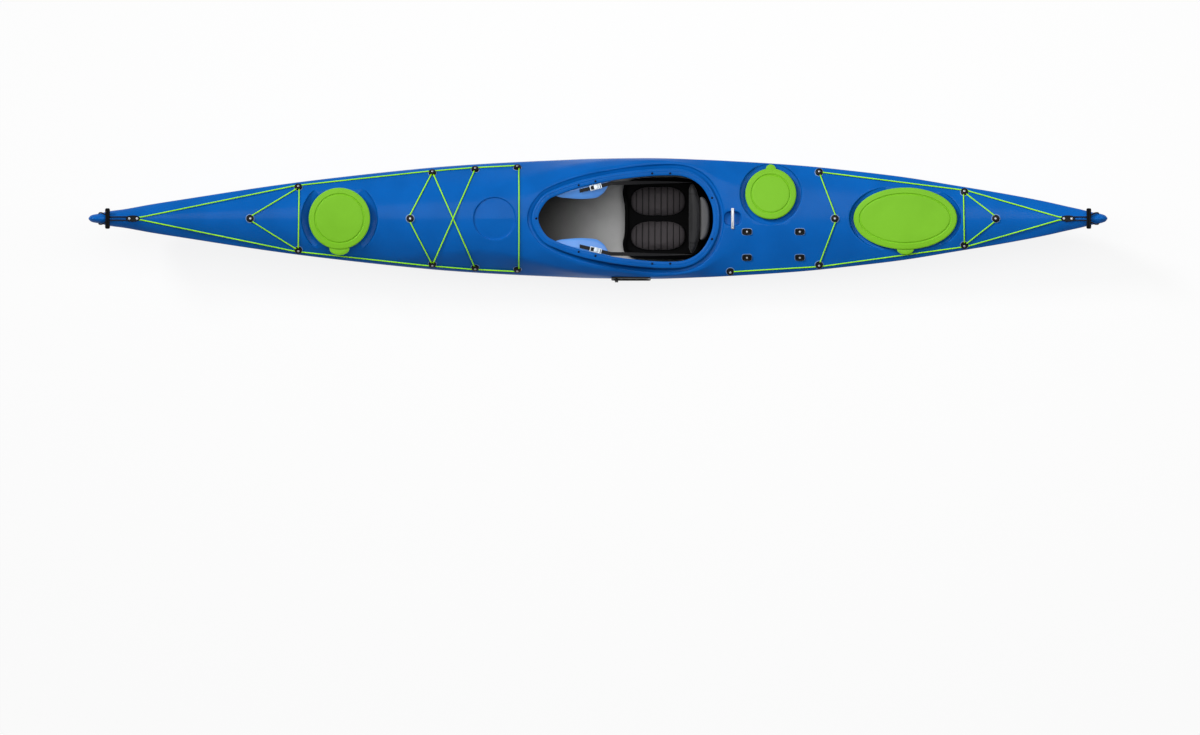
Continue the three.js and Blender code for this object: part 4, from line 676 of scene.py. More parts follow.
def compass_tool(name, sides, wall=0):
    outline = oval(COMPASS_RADIUS + wall, COMPASS_RADIUS + wall, sides)
    return sunk_disc(name, shifted(outline, compass_x), compass_x, COMPASS_DEPTH + wall)


compass_x, bar_x = along(0.3985), along(0.6321)
bar_place, bar_z = shifted(oval(41.5, 34.5, 56, 2.6), bar_x), ridge_height(bar_x)
trough = dish("trough", cockpit, trough_floor, TROUGH_GROW + 1.5, deck_height)
compass_dish = compass_tool("compass_dish", 72)
bar_dish = dish("bar_dish", bar_place, flat(bar_z - BAR_DEPTH), 0, deck_height, 4)
print("tools", trough.name, compass_dish.name, bar_dish.name)

# %% [markdown]
# ## The three hatches
# Each hatch has a plane of its own: the one behind the seat leans outboard, the rear one
# follows the rising deck. A table gives their places, and a matrix sets their dishes,
# rims and lids into those planes.

# %% Hatch table
LID_SKIRT, RIM_TUBE = 16, 26
HATCHES = {
    "front": dict(at=.2462, out=0, top=.756, half=(148, 148), recess=32, depth=44,
                  pitch=0, roll=0, tab=(48, 28), side=-1),
    "day": dict(at=.6696, out=.41, top=.481, half=(123, 123), recess=21, depth=26,
                pitch=0, roll=-7, tab=(24, 20), side=1),
    "rear": dict(at=.8015, out=0, top=.596, half=(250, 149), recess=16, depth=26,
                 pitch=-5.35, roll=0, tab=(41, 24), side=-1),
}


def shift(x, y=0, z=0):
    return Matrix.Translation((x, y, z))


def turn(angle, axis):
    return Matrix.Rotation(angle, 4, axis)


for hatch in HATCHES.values():
    lean = turn(math.radians(hatch["roll"]), "X") @ turn(math.radians(hatch["pitch"]), "Y")
    place = shift(along(hatch["at"]), across(hatch["out"]), up(hatch["top"]))
    hatch["matrix"] = place @ lean
    hatch["outline"] = oval(*hatch["half"], 120)


def set_in(made, matrix):
    """Moves a mesh drawn at the origin in millimetres to its place on the boat."""
    metres = matrix.copy()
    metres.translation = matrix.translation * MM
    made.data.transform(metres)
    return made


def over_hatch(matrix):
    """The deck's height over the hatch's own plane, as a function of that plane's axes."""
    def surface(x, y):
        world = matrix @ Vector((x, y, 0))
        return (deck_height(world.x, world.y) - world.z) / matrix.col[2].z
    return surface


def hatch_dish(name, hatch):
    tool = dish(name + "_dish", hatch["outline"], flat(-hatch["depth"]), hatch["recess"] + 4,
                over_hatch(hatch["matrix"]), 4)
    return set_in(tool, hatch["matrix"])


dishes = [hatch_dish(name, hatch) for name, hatch in HATCHES.items()]
print("hatch planes set", list(HATCHES))

# %% [markdown]
# ## Cutting the deck
# The outside is cut by the dishes, the inside by the same dishes grown by the wall. The
# inside body is then taken out of the outside one, and the openings go through both.

# %% Deck and hull
GROWN_LEAN = 8


def bare_tools(wall):
    """The recesses grown by a wall, drawn plainly because they are only seen from inside."""
    below = raised(trough_floor, -wall)
    tools = [
        stack("grown", cockpit, [
            (-wall, below), (TROUGH_GROW + wall, below),
            (TROUGH_GROW + GROWN_LEAN + wall, raised(ridge_height, OVERRUN)),
        ]),
        compass_tool("grown", 36, wall),
        stack("grown", bar_place, [(wall, bar_z - BAR_DEPTH - wall), (wall, bar_z + OVERRUN)]),
    ]
    for hatch in HATCHES.values():
        grow = hatch["recess"] + wall
        rows = [(grow, -hatch["depth"] - wall), (grow + 10, OVERRUN)]
        tools.append(set_in(stack("grown", hatch["outline"], rows), hatch["matrix"]))
    return tools


deck_inside = room("deck_room", deck_half, DECK_REACHES, 4, WALL, -1)
for tool in bare_tools(WALL):
    cut(deck_inside, tool)
room_tree = tree_of(deck_inside)
for tool in [trough, compass_dish, bar_dish] + dishes + [deck_inside]:
    cut(deck_skin, tool)
cut(deck_skin, stack("mouth", cockpit, [
    (RISER_OUT + SEAT_GAP, raised(trough_floor, -2 * OVERRUN)),
    (RISER_OUT + SEAT_GAP, raised(lip_top, OVERRUN)),
]))
for hatch in HATCHES.values():
    hole = [(SEAT_GAP - RIM_TUBE, z) for z in (-hatch["depth"] - OVERRUN, OVERRUN)]
    cut(deck_skin, set_in(stack("hole", hatch["outline"], hole), hatch["matrix"]))
hull_inside = hull_room(WALL)
hull_tree = tree_of(hull_inside)
cut(hull_skin, hull_inside)
print("deck faces", len(deck_skin.data.polygons), "hull faces", len(hull_skin.data.polygons))

# %% [markdown]
# ## Slots and holes
# The skeg's slider is let into the port flank of the deck, square to the flank's own
# slope. A cord hole crosses each tip, and the skeg drops through a slot in the keel.

# %% Slider, cord holes and skeg slot
SLIDER_SHARE, SLIDER_RISE = 0.5324, 26
SKEG_FRONT, SKEG_LENGTH, SKEG_HALF = along(.8385), 290, 9
SLIDER_HOLE, SKEG_SLOT = (84.3, 13.3, 3), (-60, 160)
HOLE_RISE, HOLE_RADIUS, THROUGH = 9, 4, 90
CORD_HOLES = {end: (along(share), up(seam_at(share)) + HOLE_RISE)
              for end, share in (("bow", .01), ("stern", .9915))}


def rounded_outline(half_x, half_y, radius, steps=6):
    """A rectangle with round corners, as points with outward directions."""
    points = []
    for sx, sy, first in ((1, 1, 0), (-1, 1, 90), (-1, -1, 180), (1, -1, 270)):
        for k in range(steps + 1):
            t = math.radians(first + 90 * k / steps)
            points.append((sx * (half_x - radius) + radius * math.cos(t),
                           sy * (half_y - radius) + radius * math.sin(t)))
    return outline_of(points)


def eased(low, high, edge, steps=4):
    """Profile rows of a slab with quarter-round edges at its foot and its top."""
    turns = [math.pi / 2 * k / steps for k in range(steps + 1)]
    foot = [(-edge * (1 - math.sin(t)), low + edge * (1 - math.cos(t))) for t in turns]
    head = [(-edge * (1 - math.cos(t)), high - edge * (1 - math.sin(t))) for t in turns]
    return foot + head


knee, gunwale = deck_half(SLIDER_SHARE)[4:6]
slider_z = up(seam_at(SLIDER_SHARE)) + SLIDER_RISE
flank_rise = knee[1] - gunwale[1]
flank_lean = math.atan2(gunwale[0] - knee[0], flank_rise)
flank_out = mix(gunwale[0], knee[0], (slider_z - gunwale[1]) / flank_rise)
slider_matrix = (shift(along(SLIDER_SHARE), -flank_out, slider_z)
                 @ turn(math.pi / 2 - flank_lean, "X"))
slider_hole = rounded_outline(*SLIDER_HOLE)
slider_hole = stack("slider_hole", slider_hole, [(0, -OVERRUN), (0, OVERRUN)])
cut(deck_skin, set_in(slider_hole, slider_matrix))
for end, (x, z) in CORD_HOLES.items():
    bore_outline = oval(HOLE_RADIUS, HOLE_RADIUS, 16)
    bore = stack(end + "_bore", bore_outline, [(0, -THROUGH), (0, THROUGH)])
    cut(deck_skin, set_in(bore, shift(x, 0, z) @ turn(math.pi / 2, "X")))
slot_outline = rounded_outline(SKEG_LENGTH / 2 + SEAT_GAP, SKEG_HALF + SEAT_GAP, 1)
slot = stack("slot", slot_outline, [(0, z) for z in SKEG_SLOT])
cut(hull_skin, set_in(slot, shift(SKEG_FRONT + SKEG_LENGTH / 2)))
print("flank leans by degrees", round(math.degrees(flank_lean), 1))

# %% [markdown]
# ## Inside of the mouldings
# The sheet is blue outside and grey inside, as a two-layer sheet is. Faces that lie on
# the room that was cut out get the inner finish, and the rest keep the blue one. The
# grey is pale under the seat's front edge and fades to near black toward the feet, which
# is painted shade; the deck's inner face is painted near black, as painted shade.

# %% Inner faces
SHADE_ENDS_AT, SHADE_DEEPEST_AT, DEEPEST_SHADE_SHARE, ON_ROOM = 165, -300, .03, 2e-4


def painted_shade_toward_feet(tree):
    """Multiplies the colour by a ramp along the boat: painted shade, darker toward the feet."""
    place = add_node(tree, "TexCoord").outputs["Object"]
    split = add_node(tree, "SeparateXYZ", {0: place})
    shade_ramp = add_node(tree, "MapRange", {
        "From Min": SHADE_DEEPEST_AT * MM, "From Max": SHADE_ENDS_AT * MM, "To Min": DEEPEST_SHADE_SHARE,
        "Value": split.outputs["X"]}, interpolation_type="SMOOTHSTEP")
    recolour(tree, 1, shade_ramp.outputs["Result"], "MULTIPLY")


def repaint(made, *materials):
    made.data.materials.clear()
    for material in materials:
        made.data.materials.append(material)


def paint_inside(made, tree, inner):
    repaint(made, shell_blue, inner)
    near = [tree.find_nearest(face.center)[3] for face in made.data.polygons]
    marks = [int(gap is not None and gap < ON_ROOM) for gap in near]
    made.data.polygons.foreach_set("material_index", marks)
    return sum(marks)


inner_grey = finish("inner_grey", (186, 186, 185), (172, 172, 171), 0.5, 0.002, 0.15, shine=0.2)
# Painted shade: the inner grey darkens toward the feet.
painted_shade_toward_feet(inner_grey.node_tree)
# The deck's inner face is painted near black: painted shade under the deck.
under_deck_painted_shade = finish("under_deck_painted_shade", (34, 36, 40), (24, 25, 28), 0.6, 0.002)
print("inner faces", paint_inside(hull_skin, hull_tree, inner_grey),
      paint_inside(deck_skin, room_tree, under_deck_painted_shade))

# %% [markdown]
# ## Coaming
# The coaming is the raised ring that a spray deck grips. Its lip rolls over at both
# edges, carries a fine groove for the shock cord, and stands on a riser that passes down
# through the trough. One profile is swept round the cockpit's outline.

# %% Coaming ring
LIP_SECTION = [
    (0, -3.6), (.5, -1.8), (1.8, -.5), (4, 0), (11, .2), (16.5, .1), (17.6, -.9), (19, -1.2),
    (20.4, -.9), (21.5, 0), (26, -.4), (29.5, -1.3), (31.8, -3), (32.8, -5.5), (33, -8.5),
    (33, -12), (31.6, -12.6), (30, -11.4), (28.6, -7.5), (26.5, -5.6), (22, -5), (9.6, -5), (9, -6),
]
RISER_TOP, RISER_FOOT = [(4, -7), (3, -6), (.6, -5.6)], -15
RING_CREASE, SHELL_CREASE = 40, 38


def along_lip(section):
    return [(grow, raised(lip_top, drop)) for grow, drop in section]


riser = [(grow, raised(trough_floor, RISER_FOOT)) for grow in (RISER_OUT, RISER_IN)]
coaming_profile = along_lip(LIP_SECTION) + riser + along_lip(RISER_TOP)
coaming_ring = stack("coaming_ring", cockpit, coaming_profile, shell_blue, loop=True,
                     crease=RING_CREASE)
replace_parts(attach(coaming_ring, "boat"), "cockpit_coaming")
for made, node in ((hull_skin, "hull"), (deck_skin, "deck")):
    shade(made, SHELL_CREASE)
    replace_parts(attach(made, "boat"), node)
print("coaming faces", len(coaming_ring.data.polygons))

# %% [markdown]
# ## Hatch rims and lids
# A lid is a soft plastic disc with a skirt that snaps over the rim. Its plate is a low
# dome with one sunk ring, and a half-round tab at the side lifts it. The plate is plain
# in the middle.

# %% Rims and lids
LID_UNDER, LID_CREASE = -4, 50
LID_CROWN = ((.03, 3.2), (.2, 3.1), (.4, 2.9), (.6, 2.5), (.8, 2.1))
LID_EDGE = (
    (-38, 1.9), (-35.4, 1.7), (-33.8, .6), (-32.4, -1.7), (-30.6, -2.5), (-28.8, -2), (-27.6, -.3),
    (-26.4, 1.2), (-24.6, 1.7), (-22.6, 1.3), (-16, .8), (-7, .2), (-3, -.5), (-1, -1.8), (0, -4),
    (0, -LID_SKIRT), (-5, -LID_SKIRT), (-5, LID_UNDER), (-36, LID_UNDER),
)


def lid_rings(outline):
    """Rings from the middle of the plate out to its rounded edge and under its skirt."""
    inner = layer(outline, -37, 1.6)
    crown = [[(x * share, y * share, rise) for x, y, _ in inner] for share, rise in LID_CROWN]
    return crown + [layer(outline, *row) for row in LID_EDGE]


def lid_tab(hatch):
    """The tab's half-round outline, which reaches back into the lid."""
    (half, out), (half_along, half_across), side = hatch["tab"], hatch["half"], hatch["side"]
    edge, turns = half_across - 2, [math.pi * i / 24 for i in range(25)]
    chord = half_across - math.sqrt(1 - (half / half_along) ** 2) * half_across + 3
    points = [(half * math.cos(t), edge + (out + 2) * math.sin(t)) for t in turns]
    points += [(-half, edge - chord), (half, edge - chord)]
    outline = outline_of([(x, y * side) for x, y in points][::side])
    return outline if outline[12][3] * side > 0 else [(x, y, -nx, -ny) for x, y, nx, ny in outline]


for name, hatch in HATCHES.items():
    outline, depth = hatch["outline"], hatch["depth"]
    lid = skin(name + "_lid", lid_rings(outline), lid_green, crease=LID_CREASE)
    tab = stack("tab", lid_tab(hatch), [(-1.2, -10), (0, -9), (0, -7), (-1.6, -6)], lid_green)
    cut(tab, stack("hollow", outline, [(-5, -OVERRUN), (-5, LID_UNDER)]))
    cut(lid, tab, "UNION")
    shade(set_in(lid, hatch["matrix"]), LID_CREASE)
    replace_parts(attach(lid, name + "_lid"), name + "_hatch_lid")
    top, foot = LID_UNDER - SEAT_GAP, SEAT_GAP - depth
    rim = stack(name + "_rim", outline, [
        (-31, top - 1), (-30, top), (-7, top), (-6, top - 1), (-6, top - 6), (-RIM_TUBE, top - 6),
        (-RIM_TUBE, foot + 3), (-14, foot + 3), (-14, foot), (-RIM_TUBE, foot),
        (-RIM_TUBE, -depth - 12), (-31, -depth - 12),
    ], black_plastic, loop=True)
    set_in(rim, hatch["matrix"])
    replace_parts(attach(rim, "boat"), name + "_hatch_rim")

# %% [markdown]
# ## Deck fittings
# Each line runs round the post of a black nylon spool, held by one stainless bolt. The
# spool sits in a small round seat, painted pale round its foot as a highlight. The
# spool is turned on a lathe in code, then stood on the deck along the deck's own slope.

# %% Spools and bolts
SPOOL_BASE, POST, LINE, LINE_GAP = 2.1, 3.4, 3, 0.4
LINE_HEIGHT = SPOOL_BASE + LINE_GAP + LINE
CAP_UNDER = LINE_HEIGHT + LINE + LINE_GAP
CAP_TOP = CAP_UNDER + 3.2
SPOOL_ROWS = [
    (16.6, -4), (18, -3), (18, SPOOL_BASE - .9), (17.2, SPOOL_BASE), (POST + 1, SPOOL_BASE),
    (POST, SPOOL_BASE + .8), (POST, CAP_UNDER), (16.2, CAP_UNDER), (17, CAP_UNDER + .7),
    (16.4, CAP_UNDER + 1.8), (13.5, CAP_UNDER + 3), (9.5, CAP_UNDER + 4), (7, CAP_UNDER + 4),
    (6.6, CAP_TOP), (.05, CAP_TOP),
]
SEAT_ROWS = [(18, -3), (21.5, -.8), (21.5, .1), (20.3, .55), (18.2, .4), (18, -1)]


def behind(share):
    """A place between the back of the cockpit and the stern, as a share of that run."""
    return mix(COCKPIT_FRONT + COCKPIT_LENGTH, HALF_LENGTH, share)


SPOOLS = (
    ("bow_centre", along(.1585), 0), ("bow", along(.2058), .859), ("fore_centre", along(.3156), 0),
    ("fore", along(.3374), .889), ("mid", along(.3794), .9), ("cockpit", along(.4209), .894),
    ("slider_port", behind(.0433), -.918), ("day", behind(.2687), .902),
    ("stern", behind(.6374), .839), ("stern_centre", behind(.717), 0),
)
AHEAD_OF_LID, rear_lid = 88, HATCHES["rear"]
PLACES = {"day_centre": (along(rear_lid["at"]) - rear_lid["half"][0] - AHEAD_OF_LID, 0)}
for name, x, out in SPOOLS:
    for end, side in (("_port", -1), ("_starboard", 1)) if out > 0 else (("", 1),):
        PLACES[name + end] = (x, side * out * across(beam_at(share_of(x))))


def lathe(name, profile, sides, material, crease=35):
    """A turned piece from radii and heights; its middle is a very small ring."""
    rows = [(max(radius, .01), z) for radius, z in profile]
    rings = [[(r * math.cos(t), r * math.sin(t), z) for t in round_turns(sides)] for r, z in rows]
    return skin(name, rings, material, crease=crease)


def stand(made, x, y):
    """Stands a piece drawn at the origin on the deck, along the deck's slope there."""
    point, up_way = on_deck(x, y)
    if y == 0:
        up_way = Vector((up_way.x, 0, up_way.z)).normalized()
    tilt = Vector((0, 0, 1)).rotation_difference(up_way).to_matrix().to_4x4()
    return set_in(made, Matrix.Translation(point) @ tilt)


def joined(name, parts):
    """One object from several, each with its own material."""
    bpy.ops.object.select_all(action="DESELECT")
    for part in parts:
        part.select_set(True)
    bpy.context.view_layer.objects.active = parts[0]
    bpy.ops.object.join()
    parts[0].name = parts[0].data.name = name
    return parts[0]


def bolt(radius, height, z):
    """A low round bolt head with a round socket sunk in it."""
    rows = ((1, 0), (1, .5), (.86, .86), (.6, 1), (.44, 1), (.4, .4))
    head = [(radius * share, z + height * rise) for share, rise in rows]
    return lathe("bolt", [(radius * .86, z - 1), *head, (.05, z + height * .35)], 18, stainless)


# The pale ring under each spool and round each clip is painted highlight.
painted_highlight_rim = finish("painted_highlight_rim", (120, 150, 190), (86, 120, 172), 0.35, 0.001)
for name, (x, y) in PLACES.items():
    spool = lathe("spool", SPOOL_ROWS, 40, black_plastic)
    head = bolt(5.4, 2.2, CAP_TOP)
    made = joined("spool_" + name, [spool, head, lathe("seat", SEAT_ROWS, 40, painted_highlight_rim)])
    stand(made, x, y)
    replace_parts(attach(made, "boat"), "fitting_" + name)
print("spools", len(PLACES))

# %% [markdown]
# ## Skeg slider
# A long black plate with two screws, let into the flank. The paddler pushes a knob along
# its slot, and a cable in the hull drops the skeg. The plate has a raised border and a
# sunk middle, as moulded covers have, which keeps the knob from standing too proud.

# %% Slider plate and knob
GROOVE, KNOB_START = (73.8, 3.8, 3.7), -69.5


def slab(name, half_x, half_y, corner, low, high, edge, material=black_plastic):
    """A flat block with round corners in plan and quarter-round edges."""
    return stack(name, rounded_outline(half_x, half_y, corner), eased(low, high, edge), material,
                 crease=RING_CREASE)


plate = slab("slider_plate", 94.5, 24.5, 9, -4.6, 5, 2.2)
cut(plate, slab("sunk", 86, 17, 6, 3.6, 9, .8))
cut(plate, slab("groove", *GROOVE, -20, 20, .4))
body = cut(slab("slider_body", 84, 13, 3, -16, -4, 2), slab("groove", *GROOVE, -11, 20, .4))
track = [plate, body]
for x, y in ((-87, -13.4), (87, 13.4)):
    screw = [(4.6, 3), (4.6, 5.2), (3.9, 6.4), (2.4, 7), (1.2, 6.3), (.05, 6)]
    track.append(set_in(lathe("screw", screw, 18, stainless), shift(x, y)))
track = set_in(joined("slider_track", track), slider_matrix)
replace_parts(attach(track, "boat"), "skeg_slider_track")
knob = slab("slider_knob", 8, 13, 3, 5.4, 17.2, 3)
for x in (-4.5, 0, 4.5):
    cut(knob, set_in(slab("rib", .9, 16, .4, 15.6, 20, .3), shift(x)))
knob = joined("slider_knob", [knob, slab("stem", 4, 3.4, .6, -3.6, 7, .3)])
set_in(knob, slider_matrix @ shift(KNOB_START))
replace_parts(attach(knob, "skeg_slider_knob"), "skeg_slider_knob")
print("slider faces", len(track.data.polygons))

# %% [markdown]
# ## Seat pan
# The pan is a shallow moulding that rests on the chines, high at the hips and low at its
# wavy front edge. It is swept like the coaming, then trimmed to the inside of the hull.

# %% Pan
SEAT_FRONT, SEAT_LENGTH, SEAT_HALF = 119.86, 450, 197
SEAT_FLOOR, SHEET, RIM_RISE = 24, 4, 118
SEAT_SHARES = [
    (.02, .3), (0, .62), (.03, .86), (.16, .97), (.4, 1), (.62, .99), (.8, .88), (.94, .62),
    (1, .3),
]
RIM_SHARES = [(0, .12), (.1, .3), (.3, .8), (.52, 1), (.66, .62), (.78, .25), (1, .2)]
seat_rim = smooth(RIM_SHARES)
seat_side = [(SEAT_FRONT + x * SEAT_LENGTH, y * SEAT_HALF) for x, y in SEAT_SHARES]
seat_outline = outline_of(catmull(seat_side + [(x, -y) for x, y in reversed(seat_side)], 8), -1)


def rising(share, extra=0):
    """A height that rises by a share from the pan's floor to its rim."""
    def height(x, y):
        rim = SEAT_FLOOR + SHEET + RIM_RISE * seat_rim((x - SEAT_FRONT) / SEAT_LENGTH)
        return mix(SEAT_FLOOR, rim, share) + extra
    return height


pan = stack("seat_pan_shell", seat_outline, [
    (-28, SEAT_FLOOR), (-19, SEAT_FLOOR + 1.6), (-10, SEAT_FLOOR + 9), (-5, rising(.25, 4)),
    (-2, rising(.5)), (0, rising(.86)), (.6, rising(.96)), (0, rising(1, .8)), (-2, rising(1, 1.6)),
    (-4, rising(1, .8)), (-4.6, rising(.96)), (-5, rising(.86)), (-6, rising(.5)),
    (-9, rising(.25, 5)), (-14, SEAT_FLOOR + 13), (-22, SEAT_FLOOR + 6), (-30, SEAT_FLOOR + SHEET),
], seat_black)
cut(pan, hull_room(WALL + SEAT_GAP), "INTERSECT")
repaint(pan, seat_black)
shade(pan, RING_CREASE)
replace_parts(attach(pan, "boat"), "seat_pan")
print("pan faces", len(pan.data.polygons))

# %% [markdown]
# ## Padded pieces
# Foam in a sewn cover swells between its seams. Cloth simulation gives that form: the
# pad is remeshed into even small faces, blown up a little, and no point may move further
# than a cap. The sewn channels come after, because a remesh would wipe them out.

# %% Swelling
FOAM = dict(use_pressure=True, uniform_pressure_force=4, tension_stiffness=30,
            compression_stiffness=30, bending_stiffness=2)
LAST_STEP, THREADS, SOFT_CREASE = 20, .314, 60


def points_of(mesh):
    return np.array([v.co for v in mesh.vertices])


def blown_up(made):
    """The points of a closed piece after the foam has pushed its cover out."""
    cloth = made.modifiers.new("foam", "CLOTH")
    for setting, value in FOAM.items():
        setattr(cloth.settings, setting, value)
    cloth.settings.effector_weights.gravity = 0
    for step in range(1, LAST_STEP + 1):
        bpy.context.scene.frame_set(step)
    points = points_of(made.evaluated_get(bpy.context.evaluated_depsgraph_get()).data)
    made.modifiers.remove(cloth)
    bpy.context.scene.frame_set(1)
    return points


def swollen(made, voxel, cap, flat_below=None):
    """Blows up a closed piece as foam under a cover; flat_below keeps its bed flat."""
    materials = list(made.data.materials)
    remesh = made.modifiers.new("remesh", "REMESH")
    remesh.mode, remesh.voxel_size = "VOXEL", voxel * MM
    even = evaluated_mesh(made)
    made.modifiers.remove(remesh)
    made.data = even
    before = points_of(even)
    move = blown_up(made) - before
    size = np.linalg.norm(move, axis=1, keepdims=True)
    points = before + move * np.minimum(1, cap * MM / np.maximum(size, 1e-9))
    if flat_below is not None:
        points[:, 2] = np.maximum(points[:, 2], flat_below * MM)
    even.vertices.foreach_set("co", points.ravel())
    even.update()
    for material in materials:
        even.materials.append(material)
    return made


def finer(made):
    """One subdivision, left in the mesh."""
    smooth_over = made.modifiers.new("finer", "SUBSURF")
    smooth_over.levels = smooth_over.render_levels = 1
    made.data = evaluated_mesh(made)
    made.modifiers.remove(smooth_over)
    shade(made, SOFT_CREASE)
    return made


def press(made, points, seam_and_shade):
    """Moves a pad's points and stores where its channels are, for the material to darken as seam
    colour and painted shade.
    """
    made.data.vertices.foreach_set("co", (points * MM).ravel())
    made.data.attributes.new("seam_and_shade", "FLOAT", "POINT").data.foreach_set("value", seam_and_shade)
    made.data.update()


def attribute(tree, name):
    return add_node(tree, "Attribute", attribute_name=name).outputs["Fac"]


def woven(name, colour, seam_and_shade_colour, scale):
    """A woven cover: fine crossed threads, darker in its sewn channels: seam colour and painted
    shade.
    """
    made = finish(name, colour, None, .6, scale, .5, shine=.15, Sheen_Weight=.06,
                  Sheen_Roughness=.5)
    tree = made.node_tree
    recolour(tree, attribute(tree, "seam_and_shade"), (*srgb(*seam_and_shade_colour), 1))
    sockets = {"Vector": add_node(tree, "TexCoord").outputs["Object"],
               "Scale": THREADS / scale, "Distortion": .6}
    threads = [add_node(tree, "TexWave", sockets, bands_direction=way).outputs["Fac"]
               for way in "XY"]
    emboss(tree, sum_of(tree, "MAXIMUM", *threads), .35, scale * .4)
    return made


seat_cloth = woven("seat_cloth", (62, 58, 60), (3, 3, 3), .0016)
band_cloth = woven("band_cloth", (42, 42, 43), (8, 8, 8), .002)
pad_grey = woven("pad_grey", (92, 92, 93), (10, 10, 10), .002)
print("covers", seat_cloth.name, band_cloth.name, pad_grey.name)

# %% [markdown]
# ## Seat pads
# Two oval pads lie side by side on the pan. Nine channels are sewn across each, so the
# foam rises in soft ribs, and a black piping runs round the foot.

# %% Pads
PAD_X, PAD_Y, PAD_Z, PAD_HALF, PAD_WIDE, RIBS, SQUARENESS = 288.86, 83, 28.3, 135, 74, 9, 2.6
PAD_ROWS = [
    (-12, 0), (-3, 0), (0, 4), (0, 9), (-3, 14), (-9, 18.5), (-20, 22.5), (-36, 24.5), (-54, 25),
]
RIB_WIDTH, RIB_DEPTH, RIBS_TO, RIBS_FADE = 2.1, 4.6, .95, .04
BORDER_AT, BORDER_WIDTH, BORDER_DEPTH, PIPING_FROM = .96, .018, 3.2, .94
SIDES = ((1, "starboard"), (-1, "port"))


def sewn(made):
    """Presses the channels into the pad and marks them for the cover's darker colour, partly seam
    colour and partly painted shade.
    """
    x, y, z = (points_of(made.data) / MM).T
    across_pad = np.abs(x / PAD_HALF) ** SQUARENESS + np.abs(y / PAD_WIDE) ** SQUARENESS
    edge = across_pad ** (1 / SQUARENESS)
    phase = np.abs(((x / (2 * PAD_HALF) + .5) * RIBS + .5) % 1 - .5) * 2 * PAD_HALF / RIBS
    rib = np.exp(-(phase / RIB_WIDTH) ** 2) * np.clip((RIBS_TO - edge) / RIBS_FADE, 0, 1)
    border = np.exp(-((edge - BORDER_AT) / BORDER_WIDTH) ** 2)
    z = z - (RIB_DEPTH * rib + BORDER_DEPTH * border) * np.clip((z - 6) / 8, 0, 1)
    piping = np.clip((edge - PIPING_FROM) / .02, 0, 1)
    press(made, np.stack([x, y, z], axis=1), np.clip(np.maximum(rib * 1.4, piping), 0, 1))
    return made


pad = stack("pad", oval(PAD_HALF - 2, PAD_WIDE - 2, 96, SQUARENESS), PAD_ROWS, seat_cloth)
pad = sewn(finer(swollen(pad, 4.5, 6, flat_below=0)))
for made, (side, name) in zip((pad, new_object("pad", pad.data.copy())), SIDES):
    made.name = "seat_cushion_" + name
    set_in(made, shift(PAD_X, side * PAD_Y, PAD_Z))
    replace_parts(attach(made, "boat"), "seat_pad_" + name)
print("pad stands at mm", round(max(v.co.z for v in pad.data.vertices) / MM, 1))

# %% [markdown]
# ## Back band and back pad
# The band is a stuffed roll that curves round the small of the back and hangs on two
# straps. Behind it a half-oval pad stands against the coaming's riser.

# %% Band
BAND_X, BAND_Z, BAND_HALF, BAND_THICK, BAND_HIGH, BAND_BOW = 463.86, 62, 172, 52, 140, 12
BAND_SECTION = [
    (-1, .1), (-.7, .01), (.7, .01), (1, .1), (1.02, .5), (.88, .88), (.45, .99), (-.45, .99),
    (-.88, .88), (-1.02, .5),
]
BACK_X, BACK_HALF = 490.16, 106
BACK_ROWS = [(-8, 1), (-2, 3), (0, 8), (0, 112), (-1.5, 122), (-6, 128), (-14, 131)]


def band_blank():
    rings = []
    for i in range(29):
        t = i / 14 - 1
        swell = math.sqrt(max(1 - abs(t) ** 3, .04))
        depth, tall = (BAND_THICK / 2 - 3) * swell, (BAND_HIGH - 4) * (.72 + .28 * swell)
        x = BAND_X - BAND_BOW * t * t
        rings.append([(x + a * depth, t * (BAND_HALF - 3), BAND_Z + 2 + h * tall)
                      for a, h in BAND_SECTION])
    return skin("band", rings, band_cloth)


def seam_at_line(values, line, width):
    return np.exp(-((values - line) / width) ** 2)


band = finer(swollen(band_blank(), 6, 5))
x, y, z = (points_of(band.data) / MM).T
seam = np.clip(seam_at_line(z, BAND_Z + 70, 2.2) + seam_at_line(np.abs(y), 118, 2.4), 0, 1)
bow = BAND_BOW * (y / BAND_HALF) ** 2
x = np.clip(BAND_X - bow + (x - BAND_X + bow) * (1 - .09 * seam), 437, 490)
# The band's seams are marked darker: seam colour and painted shade.
press(band, np.stack([x, y, np.clip(z, BAND_Z, BAND_Z + BAND_HIGH)], axis=1), seam * .7)
band.name = "back_band_roll"
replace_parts(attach(band, "boat"), "back_band")

half_oval = sorted([(x, y) for x, y, _, _ in oval(44, BACK_HALF, 64, 2.4) if x >= -.01],
                   key=lambda p: p[1])
back_outline = outline_of([(0, -BACK_HALF)] + half_oval + [(0, BACK_HALF)])
back = finer(swollen(stack("back_pad_foam", back_outline, BACK_ROWS, pad_grey), 6, 4))
points = np.clip(points_of(back.data) / MM, (0, -108, 0), (46, 108, 132))
seam = seam_at_line(points[:, 2], 118, 2.5)
points[:, 0] -= seam * 1.6 * (points[:, 0] > 6)
# The back pad's seam is marked darker: seam colour and painted shade.
press(back, points, seam)
set_in(back, shift(BACK_X, 0, BAND_Z))
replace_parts(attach(back, "boat"), "back_pad")
print("band faces", len(band.data.polygons), "back pad faces", len(back.data.polygons))

# %% [markdown]
# ## Thigh braces and buckles
# A wing is moulded under each side of the coaming for the thigh to push against. On it
# sits a cam buckle with the back band's strap through it. The wing's edge is rounded
# and rolled down, so it shows a highlight along its rim.

